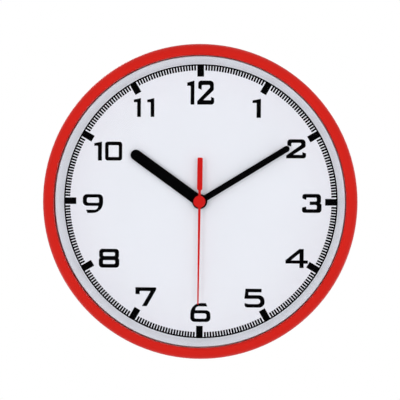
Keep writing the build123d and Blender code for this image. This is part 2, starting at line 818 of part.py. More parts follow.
# Minute wheel: turns with the train and slips on the minute pipe when the time is set
with BuildPart() as minute_wheel:
    gear_teeth(minute_wheel_low, minute_wheel_top, minute_teeth, minute_module, minute_phase)
    rod(minute_wheel_low, minute_wheel_top, clutch_radius + running_gap, mode=Mode.SUBTRACT)

with BuildPart() as friction_washer:
    rod(washer_low, washer_low + washer_thickness, washer_radius)
    rod(washer_low, washer_low + washer_thickness, clutch_radius + press_gap, mode=Mode.SUBTRACT)

# Minute pipe: clutch seat, cannon pinion and the pipe that carries the minute hand
with BuildPart() as minute_pipe:
    rod(clutch_low, washer_low - running_gap, clutch_radius + clutch_lip)
    rod(clutch_low, cannon_low, clutch_radius)
    gear_teeth(cannon_low, cannon_top, cannon_teeth, cannon_module, 0)
    rod(cannon_top, minute_pipe_top, minute_pipe_radius)
    rod(clutch_low, minute_pipe_top, arbor_radius + 2 * running_gap, mode=Mode.SUBTRACT)

# Motion wheel: steps the minute pipe down to the hour wheel
with BuildPart() as motion_wheel:
    gear_teeth(motion_wheel_low, motion_wheel_top, motion_teeth, cannon_module, motion_phase, motion_at)
    gear_teeth(motion_wheel_top, hour_wheel_top, motion_pinion, hour_module, 0, motion_at)
    rod(
        motion_wheel_low,
        hour_wheel_top,
        motion_stud_radius + running_gap,
        at=motion_at,
        mode=Mode.SUBTRACT,
    )

# Hour wheel: its pipe runs in the collar and carries the hour hand
with BuildPart() as hour_wheel:
    gear_teeth(hour_wheel_low, hour_wheel_top, hour_teeth, hour_module, hour_phase)
    rod(hour_wheel_top, hour_pipe_top, hour_pipe_radius)
    rod(hour_wheel_low, hour_pipe_top, minute_pipe_radius + running_gap, mode=Mode.SUBTRACT)

# Setting shaft and its knob at the back
setting_top = motion_wheel_top + pinion_overhang
setting_low = motion_wheel_low - pinion_overhang
knob_top = well_floor - layer_gap / 2
with BuildPart() as setting_shaft:
    gear_teeth(setting_low, setting_top, setting_teeth, cannon_module, setting_phase, setting_at)
    rod(knob_back + knob_height / 2, setting_low, setting_shaft_radius, at=setting_at)
    rod(setting_top, front_inside - running_gap, setting_shaft_radius / 2, at=setting_at)

with BuildPart() as setting_knob:
    rod(knob_back, knob_back + knob_height, knob_radius, at=setting_at)
    rod(knob_back + knob_height, knob_top, knob_hub_radius, at=setting_at)
    rod(
        knob_back + knob_height / 2,
        knob_top,
        setting_shaft_radius + press_gap,
        at=setting_at,
        mode=Mode.SUBTRACT,
    )
    with BuildSketch(face_plane(knob_back, setting_at)):
        with PolarLocations(knob_radius, knob_flutes):
            Circle(flute_radius)
    extrude(amount=knob_height, mode=Mode.SUBTRACT)

# Stator: a flat steel yoke round the rotor, with one straight and one spread arm
with BuildPart() as stator:
    left, right = core_ends
    with BuildSketch(face_plane(stator_low)):
        with Locations(rotor_at):
            Rectangle(2 * stator_half_width, 2 * stator_half_width)
        with BuildLine():
            Polyline(
                (left[0] - arm_width / 2, rotor_at[1]),
                (left[0] - arm_width / 2, left[1] + core_width / 2),
                (left[0] + arm_width / 2, left[1] + core_width / 2),
                (left[0] + arm_width / 2, rotor_at[1]),
                close=True,
            )
        make_face()
        with BuildLine():
            Polyline(
                (rotor_at[0] + stator_half_width - arm_width, rotor_at[1] + stator_half_width),
                (right[0] - arm_width / 2, right[1] - arm_width),
                (right[0] - arm_width / 2, right[1] + core_width / 2),
                (right[0] + arm_width / 2, right[1] + core_width / 2),
                (right[0] + arm_width / 2, right[1] - arm_width),
                (rotor_at[0] + stator_half_width, rotor_at[1] + stator_half_width - arm_width / 2),
                close=True,
            )
        make_face()
        with Locations(rotor_at):
            Circle(magnet_radius + stator_air_gap, mode=Mode.SUBTRACT)
            with PolarLocations(magnet_radius + stator_air_gap, 2, start_angle=45):
                Circle(stator_air_gap, mode=Mode.SUBTRACT)
    extrude(amount=stator_thickness)

# Coil: a flat core that bridges the arms, a bobbin on it and the winding
bobbin_length = coil_span - arm_width - 2 * flange_thickness


def coil_plane(offset):
    """Plane square to the coil's axis, at an offset along it; x is up the dial, y is the height."""
    return Plane(
        origin=(coil_at[0] + offset, -core_middle, coil_at[1]), x_dir=(0, 0, 1), z_dir=(1, 0, 0)
    )


with BuildPart() as coil_core:
    slab(
        stator_top,
        core_top,
        (left[0] - arm_width / 2, right[0] + arm_width / 2),
        (coil_at[1] - core_width / 2, coil_at[1] + core_width / 2),
    )

with BuildPart() as coil_bobbin:
    with BuildSketch(coil_plane(0)):
        Circle(bobbin_barrel)
    extrude(amount=bobbin_length / 2, both=True)
    for side in (-1, 1):
        with BuildSketch(coil_plane(side * bobbin_length / 2)):
            Circle(bobbin_flange)
        extrude(amount=-side * flange_thickness)
    with BuildSketch(coil_plane(0)):
        Rectangle(*core_hole)
    extrude(amount=coil_span, both=True, mode=Mode.SUBTRACT)

with BuildPart() as coil_winding:
    with BuildSketch(coil_plane(0)):
        Circle(winding_radius)
        Circle(bobbin_barrel + press_gap, mode=Mode.SUBTRACT)
    extrude(amount=bobbin_length / 2 - flange_thickness - press_gap, both=True)

# Circuit board with the driver chip's moulded drop and the crystal's can
with BuildPart() as circuit_board:
    with BuildSketch(face_plane(board_low, board_at)):
        RectangleRounded(board_width, board_length, inner_corner)
    extrude(amount=board_thickness)

chip_at = (board_at[0] - board_width / 8, board_at[1])
with BuildPart() as driver_chip:
    dome = (chip_radius**2 + chip_height**2) / (2 * chip_height)
    with BuildSketch(section_plane(chip_at)):
        with BuildLine():
            Line((0, board_top), (chip_radius, board_top))
            RadiusArc((chip_radius, board_top), (0, board_top + chip_height), -dome)
            Line((0, board_top + chip_height), (0, board_top))
        make_face()
    revolve(axis=turning_axis(chip_at))

crystal_at = (board_at[0] + board_width / 4, board_at[1] - board_length / 4)
with BuildPart() as quartz_crystal:
    can = Plane(
        origin=(crystal_at[0], -board_top - crystal_radius, crystal_at[1]), x_dir=(0, 0, 1), z_dir=(1, 0, 0)
    )
    with BuildSketch(can):
        Circle(crystal_radius)
    extrude(amount=crystal_length / 2, both=True)
    fillet(quartz_crystal.edges().filter_by(GeomType.CIRCLE), crystal_radius / 3)

# Battery: a round cell across the bay, with its raised pole to the right
with BuildPart() as battery_cell:
    lying = Plane(origin=(0, -cell_height, cell_z), x_dir=(1, 0, 0), z_dir=(0, 0, -1))
    with BuildSketch(lying):
        with BuildLine():
            Polyline(
                (cell_left, 0),
                (cell_left, cell_radius - cell_edge),
                (cell_left + cell_edge, cell_radius),
                (cell_right - cell_edge, cell_radius),
                (cell_right, cell_radius - cell_edge),
                (cell_right, nub_radius),
                (cell_right + nub_height, nub_radius),
                (cell_right + nub_height, 0),
                close=True,
            )
        make_face()
    revolve(axis=Axis((0, -cell_height, cell_z), (1, 0, 0)))

# Contacts: bent strips from the ends of the bay up to the board
wall_line = half_inside
strip_line = half_inside - strip_thickness
contact_z = (cell_z - contact_size / 2, cell_z + contact_size / 2)
contact_h = (cell_height - contact_size / 2, cell_height + contact_size / 2)
tab_z = (board_at[1] - tab_length / 2, board_at[1] + tab_length / 2)
with BuildPart() as positive_contact:
    slab(*contact_h, (strip_line, wall_line), contact_z)
    slab(strip_low, strip_low + strip_width, (strip_line, wall_line), (contact_z[1] - strip_width, tab_z[1]))
    slab(board_top, strip_low + strip_width, (strip_line, wall_line), tab_z)
    slab(board_top, board_top + strip_thickness, (strip_line - tab_length, wall_line), tab_z)
    pole = Plane(origin=(strip_line, -cell_height, cell_z), x_dir=(0, 0, 1), z_dir=(-1, 0, 0))
    with BuildSketch(pole):
        Circle(nub_radius)
    extrude(amount=strip_line - cell_right - nub_height - contact_gap)

bend = inner_corner + strip_thickness
tab_x = (board_left + tab_length / 2, board_left + 1.5 * tab_length)
with BuildPart() as negative_contact:
    slab(*contact_h, (-wall_line, -strip_line), contact_z)
    with BuildSketch(face_plane(strip_low)):
        with BuildLine():
            outer = Polyline((-wall_line, contact_z[0]), (-wall_line, wall_line - bend))
            RadiusArc(outer @ 1, (bend - wall_line, wall_line), bend)
            Polyline(
                (bend - wall_line, wall_line),
                (tab_x[1], wall_line),
                (tab_x[1], strip_line),
                (bend - wall_line, strip_line),
            )
            RadiusArc((bend - wall_line, strip_line), (-strip_line, wall_line - bend), strip_thickness - bend)
            Polyline((-strip_line, wall_line - bend), (-strip_line, contact_z[0]), (-wall_line, contact_z[0]))
        make_face()
    extrude(amount=strip_width)
    slab(board_top, strip_low + strip_width, tab_x, (strip_line, wall_line))
    slab(board_top, board_top + strip_thickness, tab_x, (strip_line - tab_length, wall_line))
    bow = cell_left - contact_gap
    with BuildSketch(face_plane(cell_height - strip_width)):
        with BuildLine():
            ThreePointArc((-strip_line, contact_z[0]), (bow, cell_z), (-strip_line, contact_z[1]))
            Line((-strip_line, contact_z[1]), (-wall_line, contact_z[1]))
            ThreePointArc(
                (-wall_line, contact_z[1]), (bow - strip_thickness, cell_z), (-wall_line, contact_z[0])
            )
            Line((-wall_line, contact_z[0]), (-strip_line, contact_z[0]))
        make_face()
    extrude(amount=2 * strip_width)

pieces = {
    "bezel": bezel,
    "lens": lens,
    "spacer_ring": spacer_ring,
    "dial": dial,
    "case_back": case_back,
    "hour_hand": hour_hand,
    "minute_hand": minute_hand,
    "second_hand": second_hand,
    "second_hand_hub": second_hand_hub,
    "movement_housing": movement_housing,
    "movement_cover": movement_cover,
    "train_plate": train_plate,
    "rotor_pinion": rotor_pinion,
    "rotor_magnet": rotor_magnet,
    "intermediate_wheel": intermediate_wheel,
    "seconds_wheel": seconds_wheel,
    "seconds_arbor": seconds_arbor,
    "third_wheel": third_wheel,
    "minute_wheel": minute_wheel,
    "friction_washer": friction_washer,
    "minute_pipe": minute_pipe,
    "motion_wheel": motion_wheel,
    "hour_wheel": hour_wheel,
    "setting_shaft": setting_shaft,
    "setting_knob": setting_knob,
    "stator": stator,
    "coil_core": coil_core,
    "coil_bobbin": coil_bobbin,
    "coil_winding": coil_winding,
    "circuit_board": circuit_board,
    "driver_chip": driver_chip,
    "quartz_crystal": quartz_crystal,
    "battery_cell": battery_cell,
    "positive_contact": positive_contact,
    "negative_contact": negative_contact,
}

os.makedirs("parts", exist_ok=True)
for name, piece in pieces.items():
    piece.part.label = name
    export_step(piece.part, f"parts/{name}.step")
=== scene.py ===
"""Quartz wall clock with a red moulded rim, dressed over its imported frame.

The frame gives every rigid piece in metres: +Z is up, the dial faces -Y and the wall is the plane y = 0.
This file adds the print of the dial and the raised signs of the movement's cover, gives every piece its
finish, and sets the clock in a white studio.
"""
import json
import logging
import math
from abc import ABC, abstractmethod
from contextlib import contextmanager
from dataclasses import dataclass, field
from enum import Enum
from typing import Any, Iterator, Sequence

import bpy
from bpy.types import Material, Node, NodeInputs, NodeOutputs, NodeSocket, NodeTree, Object
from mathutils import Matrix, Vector


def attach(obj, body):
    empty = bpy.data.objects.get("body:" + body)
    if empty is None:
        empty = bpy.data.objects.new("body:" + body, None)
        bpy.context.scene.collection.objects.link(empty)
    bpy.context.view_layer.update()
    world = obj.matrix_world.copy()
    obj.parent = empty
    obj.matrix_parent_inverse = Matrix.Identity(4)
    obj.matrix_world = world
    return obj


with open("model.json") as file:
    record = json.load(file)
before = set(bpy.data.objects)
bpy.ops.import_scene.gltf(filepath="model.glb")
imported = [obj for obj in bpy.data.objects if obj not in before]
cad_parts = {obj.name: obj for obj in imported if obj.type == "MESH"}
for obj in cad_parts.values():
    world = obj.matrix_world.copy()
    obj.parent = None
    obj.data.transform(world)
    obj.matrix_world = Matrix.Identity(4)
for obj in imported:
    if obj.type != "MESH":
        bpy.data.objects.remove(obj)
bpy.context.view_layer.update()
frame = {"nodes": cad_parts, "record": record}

LOG = logging.getLogger("wall_clock")
MM = 0.001
MERGE_DISTANCE = 1e-7
HOURS = 12
HOUR_STEP_DEG = 360.0 / HOURS

Spot = tuple[float, float]
Corner = tuple[float, float, float]
Place = tuple[float, float, float]
Tone = tuple[float, float, float]
Colour = tuple[float, float, float, float]

WHITE: Colour = (1.0, 1.0, 1.0, 1.0)


def tone(red: int, green: int, blue: int) -> Tone:
    """Turn a colour as it is seen on a screen into linear light.

    Args:
        red: Red, from 0 to 255.
        green: Green, from 0 to 255.
        blue: Blue, from 0 to 255.

    Returns:
        The same colour as linear values from 0 to 1.
    """
    def linear(value: int) -> float:
        """Linear value of one channel, by the screen's standard curve."""
        share = value / 255
        return share / 12.92 if share <= 0.04045 else ((share + 0.055) / 1.055) ** 2.4

    return linear(red), linear(green), linear(blue)


def shaded(base: Tone, share: float = 0.0) -> Colour:
    """Make a linear colour lighter by a share of itself, or darker by a negative one, with full alpha."""
    red, green, blue = (min(1.0, max(0.0, channel * (1 + share))) for channel in base)
    return red, green, blue, 1.0


def coat(piece: Object, material: Material) -> None:
    """Give an added piece its one finish, and report it.

    Args:
        piece: The piece to coat.
        material: Its finish.
    """
    piece.data.materials.clear()
    piece.data.materials.append(material)
    LOG.info("%s: %s, %d faces", piece.name, material.name, len(piece.data.polygons))


class Bench:
    """Selection and mode handling for pieces that are modelled by hand."""

    @staticmethod
    def clear() -> None:
        """Leave edit mode and deselect everything."""
        active = bpy.context.view_layer.objects.active
        if active is not None and active.mode != "OBJECT":
            bpy.ops.object.mode_set(mode="OBJECT")
        bpy.ops.object.select_all(action="DESELECT")

    @staticmethod
    def take(piece: Object) -> None:
        """Make one piece the only selected object, and the active one.

        Args:
            piece: The piece to take.
        """
        Bench.clear()
        piece.select_set(True)
        bpy.context.view_layer.objects.active = piece

    @staticmethod
    @contextmanager
    def editing(piece: Object) -> Iterator[None]:
        """Edit a piece's mesh, with all of it selected to begin with.

        Args:
            piece: The piece to edit.

        Returns:
            A context in which the mesh operators act on this piece alone.
        """
        Bench.take(piece)
        bpy.ops.object.mode_set(mode="EDIT")
        bpy.ops.mesh.select_all(action="SELECT")
        yield
        bpy.ops.object.mode_set(mode="OBJECT")

    @staticmethod
    def settle(piece: Object) -> None:
        """Put a piece's place into its mesh, so that its object sits at the origin."""
        Bench.take(piece)
        bpy.ops.object.transform_apply(location=True, rotation=True, scale=True)

    @staticmethod
    def apply(piece: Object, kind: str, **settings: Any) -> None:
        """Add a modifier to a piece and apply it.

        Args:
            piece: The piece to change.
            kind: The modifier's type.
            settings: The modifier's values.
        """
        Bench.take(piece)
        modifier = piece.modifiers.new(kind.lower(), kind)
        for name, value in settings.items():
            setattr(modifier, name, value)
        bpy.ops.object.modifier_apply(modifier=modifier.name)

    @staticmethod
    def face_out(piece: Object) -> None:
        """Merge doubled points of a piece and turn its faces outwards.

        Args:
            piece: The piece to mend.
        """
        with Bench.editing(piece):
            bpy.ops.mesh.remove_doubles(threshold=MERGE_DISTANCE)
            bpy.ops.mesh.normals_make_consistent(inside=False)


@dataclass
class Desk:
    """A node tree on which nodes are placed and joined."""

    tree: NodeTree

    def join(self, value: Any, socket: NodeSocket) -> None:
        """Set a socket to a value, or link it to another socket.

        Args:
            value: A number, a colour, a vector or the socket that gives one.
            socket: The socket that takes it.
        """
        if isinstance(value, NodeSocket):
            self.tree.links.new(value, socket)
        else:
            socket.default_value = value

    def add(self, kind: str, inputs: dict[str, Any] | dict[int, Any] | None = None, **settings: Any) -> Node:
        """Place one node.

        Args:
            kind: The node's type name.
            inputs: Values or sockets for the node's inputs, by name or number.
            settings: Properties of the node itself.

        Returns:
            The new node.
        """
        node = self.tree.nodes.new(kind)
        for name, value in settings.items():
            setattr(node, name, value)
        for name, value in (inputs or {}).items():
            self.join(value, node.inputs[name])
        return node

    def maths(self, operation: str, *values: Any) -> NodeSocket:
        """Place a math node for numbers or sockets, in their order, and give its result."""
        return self.add("ShaderNodeMath", dict(enumerate(values)), operation=operation).outputs[0]

    def noise(self, place: Any, scale: Any, **settings: float) -> NodeSocket:
        """Place a noise texture that is read at a place, and give its value from 0 to 1."""
        inputs = {name.capitalize(): value for name, value in settings.items()}
        return self.add("ShaderNodeTexNoise", {"Vector": place, "Scale": scale, **inputs}).outputs["Fac"]

    def span(
        self, value: Any, low: float, high: float, to_low: float = 0.0, to_high: float = 1.0
    ) -> NodeSocket:
        """Stretch a value from the range of low to high to another range, and hold it at the ends."""
        ends = {"From Min": low, "From Max": high, "To Min": to_low, "To Max": to_high}
        return self.add("ShaderNodeMapRange", {"Value": value, **ends}).outputs["Result"]

    def mix(self, share: Any, first: Any, second: Any) -> NodeSocket:
        """Mix two colours.

        Args:
            share: How much of the second is taken, from 0 to 1.
            first: The colour at 0.
            second: The colour at 1.

        Returns:
            The mixed colour.
        """
        node = self.add("ShaderNodeMix", data_type="RGBA")
        takes = [socket for socket in node.inputs if socket.enabled]
        for value, socket in zip((share, first, second), takes):
            self.join(value, socket)
        return next(socket for socket in node.outputs if socket.enabled)

    def along(self, vector: Any, axis: str) -> NodeSocket:
        """Give a vector's part along one axis, X, Y or Z."""
        return self.add("ShaderNodeSeparateXYZ", {0: vector}).outputs[axis]


class Port(Enum):
    """Kinds of socket that an effect can have."""

    VALUE = "NodeSocketFloat"
    COLOUR = "NodeSocketColor"
    VECTOR = "NodeSocketVector"


class Effects:
    """Surface effects that several finishes share, each built once as a node group."""

    PORTS = {
        "Vector": Port.VECTOR, "Stretch": Port.VECTOR, "Colour": Port.COLOUR, "Light": Port.COLOUR,
        "Dark": Port.COLOUR, "Dust": Port.COLOUR, "Amount": Port.VALUE, "Scale": Port.VALUE,
        "Height": Port.VALUE, "Roughness": Port.VALUE, "Spread": Port.VALUE,
    }
    NOISE_MIDDLE = 0.5
    PATCH_TO_GRAIN = 0.035
    GRAIN_WEIGHT = 0.4
    DUST_SCALE = 420.0

    def __init__(self) -> None:
        """Build every shared effect."""
        self.flow = self._flow()
        self.skin = self._skin()
        self.dust = self._dust()
        self.drawn = self._drawn()

    def _group(
        self, name: str, takes: Sequence[str], gives: Sequence[str]
    ) -> tuple[Desk, NodeOutputs, NodeInputs]:
        """Start a node group.

        Args:
            name: The group's name.
            takes: The names of its inputs.
            gives: The names of its outputs.

        Returns:
            The group's desk, its input node's sockets and its output node's sockets.
        """
        tree = bpy.data.node_groups.new(name, "ShaderNodeTree")
        for way, labels in (("INPUT", takes), ("OUTPUT", gives)):
            for label in labels:
                tree.interface.new_socket(label, in_out=way, socket_type=self.PORTS[label].value)
        desk = Desk(tree)
        return desk, desk.add("NodeGroupInput").outputs, desk.add("NodeGroupOutput").inputs

    def _flow(self) -> NodeTree:
        """Slow change of colour, as flow marks in a moulding or clouds in a coat of paint.

        Returns:
            The node group.
        """
        desk, takes, gives = self._group("flow_marks", ("Vector", "Scale", "Light", "Dark"), ("Colour",))
        cloud = desk.noise(takes["Vector"], takes["Scale"], detail=3.0, roughness=0.55, distortion=0.4)
        share = desk.span(cloud, low=0.3, high=0.7)
        desk.join(desk.mix(share, takes["Dark"], takes["Light"]), gives["Colour"])
        return desk.tree

    def _skin(self) -> NodeTree:
        """Fine grain of a surface, as a height and as a change of gloss.

        Returns:
            The node group.
        """
        desk, takes, gives = self._group(
            "fine_skin", ("Vector", "Scale", "Roughness", "Spread"), ("Height", "Roughness")
        )
        grain = desk.noise(takes["Vector"], takes["Scale"], detail=2.0, roughness=0.6)
        patch_scale = desk.maths("MULTIPLY", takes["Scale"], self.PATCH_TO_GRAIN)
        patches = desk.noise(takes["Vector"], patch_scale, detail=3.0, roughness=0.5)
        both = desk.maths("MULTIPLY_ADD", grain, self.GRAIN_WEIGHT, patches)
        centred = desk.maths("SUBTRACT", both, self.NOISE_MIDDLE * (1 + self.GRAIN_WEIGHT))
        gloss = desk.maths("MULTIPLY_ADD", centred, takes["Spread"], takes["Roughness"])
        desk.join(grain, gives["Height"])
        desk.join(gloss, gives["Roughness"])
        return desk.tree

    def _dust(self) -> NodeTree:
        """Pale dust that settles on faces which look up.

        Returns:
            The node group.
        """
        desk, takes, gives = self._group("settled_dust", ("Vector", "Colour", "Dust", "Amount"), ("Colour",))
        normal = desk.add("ShaderNodeNewGeometry").outputs["Normal"]
        upward = desk.span(desk.along(normal, "Z"), low=0.25, high=1.0)
        patches = desk.noise(takes["Vector"], self.DUST_SCALE, detail=4.0, roughness=0.7)
        speck = desk.span(patches, low=0.4, high=0.75)
        mask = desk.maths("MULTIPLY", desk.maths("MULTIPLY", upward, speck), takes["Amount"])
        desk.join(desk.mix(mask, takes["Colour"], takes["Dust"]), gives["Colour"])
        return desk.tree

    def _drawn(self) -> NodeTree:
        """Fine lines of rolled, drawn or turned metal.

        Returns:
            The node group.
        """
        desk, takes, gives = self._group(
            "drawn_lines", ("Vector", "Scale", "Stretch", "Roughness", "Spread"), ("Height", "Roughness")
        )
        stretched = desk.add(
            "ShaderNodeVectorMath", {0: takes["Vector"], 1: takes["Stretch"]}, operation="MULTIPLY"
        )
        lines = desk.noise(stretched.outputs[0], takes["Scale"], detail=3.0, roughness=0.65)
        centred = desk.maths("SUBTRACT", lines, self.NOISE_MIDDLE)
        gloss = desk.maths("MULTIPLY_ADD", centred, takes["Spread"], takes["Roughness"])
        desk.join(lines, gives["Height"])
        desk.join(gloss, gives["Roughness"])
        return desk.tree


class MaterialDesk(Desk):
    """The node tree of one material, with its shader, its object coordinates and the shared effects."""

    def __init__(self, name: str, effects: Effects) -> None:
        """Start a material.

        Args:
            name: The material's name.
            effects: The shared surface effects.
        """
        self.material = bpy.data.materials.new(name)
        self.material.use_nodes = True
        super().__init__(self.material.node_tree)
        self.effects = effects
        self.tree.nodes.clear()
        self.shader = self.add("ShaderNodeBsdfPrincipled")
        self.out = self.add("ShaderNodeOutputMaterial", {"Surface": self.shader.outputs["BSDF"]})
        self.place = self.add("ShaderNodeTexCoord").outputs["Object"]

    def effect(self, group: NodeTree, inputs: dict[str, Any]) -> NodeOutputs:
        """Place a shared effect, read at the object's own coordinates."""
        return self.add("ShaderNodeGroup", {"Vector": self.place, **inputs}, node_tree=group).outputs

    def clouds(self, body: Tone, scale: float, light: float, dark: float) -> NodeSocket:
        """Give a body colour slow clouds, lighter and darker than it by these shares."""
        tones = {"Light": shaded(body, light), "Dark": shaded(body, -dark)}
        return self.effect(self.effects.flow, {"Scale": scale, **tones})["Colour"]

    def settle_dust(self, colour: NodeSocket, dust: Tone, amount: float) -> NodeSocket:
        """Let dust settle on a colour where the surface looks up."""
        settled = {"Colour": colour, "Dust": shaded(dust), "Amount": amount}
        return self.effect(self.effects.dust, settled)["Colour"]

    def skin(self, scale: float, roughness: float, spread: float) -> NodeOutputs:
        """Place the fine grain of a surface, which has a height and a roughness."""
        return self.effect(self.effects.skin, {"Scale": scale, "Roughness": roughness, "Spread": spread})

    def lines(self, scale: float, stretch: Place, roughness: float, spread: float) -> NodeOutputs:
        """Place the fine lines of worked metal, which have a height and a roughness."""
        drawn = {"Scale": scale, "Stretch": stretch, "Roughness": roughness, "Spread": spread}
        return self.effect(self.effects.drawn, drawn)

    def feed(self, name: str, value: Any) -> None:
        """Set one input of the shader, to a value or from a socket."""
        self.join(value, self.shader.inputs[name])

    def raise_skin(self, height: NodeSocket, strength: float, depth_mm: float) -> None:
        """Let a height from 0 to 1 change the shader's normal, as if it were so deep in full."""
        bump = self.add("ShaderNodeBump", {"Height": height, "Strength": strength, "Distance": depth_mm * MM})
        self.feed("Normal", bump.outputs["Normal"])


@dataclass(frozen=True)
class Finish(ABC):
    """A finish, named for the material slot that it is for."""

    name: str

    def material(self, effects: Effects) -> Material:
        """Build the finish.

        Args:
            effects: The shared surface effects.

        Returns:
            The finished material.
        """
        desk = MaterialDesk(self.name, effects)
        self.lay(desk)
        return desk.material

    @abstractmethod
    def lay(self, desk: MaterialDesk) -> None:
        """Place and join the nodes of the finish."""


@dataclass(frozen=True)
class MouldedFinish(Finish):
    """Moulded resin, printed card or sprayed paint: one body colour with slow clouds, fine skin and dust."""

    body: Tone
    cloud: float = 0.03
    cloud_scale: float = 45.0
    roughness: float = 0.45
    spread: float = 0.10
    grain_scale: float = 2600.0
    grain_strength: float = 0.12
    grain_depth_mm: float = 0.02
    specular: float = 0.5
    dust: float = 0.0
    dust_tone: Tone = tone(188, 186, 180)

    def lay(self, desk: MaterialDesk) -> None:
        """Place and join the nodes of the finish.

        Args:
            desk: The nodes of its material.
        """
        colour = desk.clouds(self.body, self.cloud_scale, self.cloud, self.cloud)
        if self.dust > 0:
            colour = desk.settle_dust(colour, self.dust_tone, self.dust)
        skin = desk.skin(self.grain_scale, self.roughness, self.spread)
        desk.feed("Base Color", colour)
        desk.feed("Roughness", skin["Roughness"])
        desk.feed("Specular IOR Level", self.specular)
        desk.raise_skin(skin["Height"], self.grain_strength, self.grain_depth_mm)


@dataclass(frozen=True)
class MetalFinish(Finish):
    """Bright metal with the fine lines of rolling, drawing or turning."""

    body: Tone
    cloud_scale: float = 160.0
    gleam: float = 0.04
    tarnish: float = 0.18
    roughness: float = 0.32
    spread: float = 0.22
    line_scale: float = 900.0
    line_strength: float = 0.15
    line_depth_mm: float = 0.01
    stretch: Place = (0.08, 1.0, 1.0)

    def lay(self, desk: MaterialDesk) -> None:
        """Place and join the nodes of the finish.

        Args:
            desk: The nodes of its material.
        """
        lines = desk.lines(self.line_scale, self.stretch, self.roughness, self.spread)
        desk.feed("Base Color", desk.clouds(self.body, self.cloud_scale, self.gleam, self.tarnish))
        desk.feed("Metallic", 1.0)
        desk.feed("Roughness", lines["Roughness"])
        desk.raise_skin(lines["Height"], self.line_strength, self.line_depth_mm)


@dataclass(frozen=True)
class PaneFinish(Finish):
    """Clear flat plate that lets light through to the dial."""

    roughness: float = 0.03
    spread: float = 0.04
    grain_scale: float = 700.0
    refraction: float = 1.49

    def lay(self, desk: MaterialDesk) -> None:
        """Place and join the nodes of the finish.

        Args:
            desk: The nodes of its material.
        """
        desk.feed("Base Color", WHITE)
        desk.feed("Roughness", desk.skin(self.grain_scale, self.roughness, self.spread)["Roughness"])
        desk.feed("IOR", self.refraction)
        desk.feed("Transmission Weight", 1.0)
        path = desk.add("ShaderNodeLightPath").outputs
        lit = desk.maths("MAXIMUM", path["Is Shadow Ray"], path["Is Diffuse Ray"])
        clear = desk.add("ShaderNodeBsdfTransparent").outputs["BSDF"]
        both = desk.add("ShaderNodeMixShader", {0: lit, 1: desk.shader.outputs["BSDF"], 2: clear})
        desk.join(both.outputs["Shader"], desk.out.inputs["Surface"])


@dataclass(frozen=True)
class WoundFinish(Finish):
    """Enamelled wire, wound in fine turns along X."""

    # A wave texture at scale 1 runs through this many radians in a metre.
    WAVE_RADIANS = 20.0

    body: Tone
    cloud_scale: float = 300.0
    gleam: float = 0.06
    tarnish: float = 0.15
    metallic: float = 0.85
    roughness: float = 0.32
    spread: float = 0.12
    grain_scale: float = 1800.0
    turns_per_mm: float = 2.5
    turn_wander: float = 0.6
    turn_strength: float = 0.5
    turn_depth_mm: float = 0.06

    def lay(self, desk: MaterialDesk) -> None:
        """Place and join the nodes of the finish.

        Args:
            desk: The nodes of its material.
        """
        turn_scale = self.turns_per_mm / MM * 2 * math.pi / self.WAVE_RADIANS
        turns = desk.add(
            "ShaderNodeTexWave",
            {"Vector": desk.place, "Scale": turn_scale, "Distortion": self.turn_wander},
            bands_direction="X",
        )
        desk.feed("Base Color", desk.clouds(self.body, self.cloud_scale, self.gleam, self.tarnish))
        desk.feed("Metallic", self.metallic)
        desk.feed("Roughness", desk.skin(self.grain_scale, self.roughness, self.spread)["Roughness"])
        desk.raise_skin(turns.outputs["Fac"], self.turn_strength, self.turn_depth_mm)


@dataclass(frozen=True)
class CellFinish(Finish):
    """Plain film round a steel can: a slate barrel, a grey band at the raised pole, bare steel ends."""

    barrel: Tone
    band: Tone
    steel: Tone
    band_from: float
    bare_from: float
    bare_to: float
    cloud: float = 0.08
    cloud_scale: float = 120.0
    band_metallic: float = 0.6
    roughness: float = 0.34
    spread: float = 0.12
    line_scale: float = 700.0
    line_strength: float = 0.08
    line_depth_mm: float = 0.01
    stretch: Place = (1.0, 0.1, 0.1)

    def lay(self, desk: MaterialDesk) -> None:
        """Place and join the nodes of the finish.

        Args:
            desk: The nodes of its material.
        """
        along = desk.along(desk.place, "X")
        on_band = desk.maths("GREATER_THAN", along, self.band_from)
        flat_end = desk.maths("LESS_THAN", along, self.bare_from)
        bare = desk.maths("MAXIMUM", desk.maths("GREATER_THAN", along, self.bare_to), flat_end)
        barrel = desk.clouds(self.barrel, self.cloud_scale, self.cloud, self.cloud)
        wrapped = desk.mix(on_band, barrel, shaded(self.band))
        dull_metal = desk.maths("MULTIPLY", on_band, self.band_metallic)
        lines = desk.lines(self.line_scale, self.stretch, self.roughness, self.spread)
        desk.feed("Base Color", desk.mix(bare, wrapped, shaded(self.steel)))
        desk.feed("Metallic", desk.maths("MAXIMUM", bare, dull_metal))
        desk.feed("Roughness", lines["Roughness"])
        desk.raise_skin(lines["Height"], self.line_strength, self.line_depth_mm)


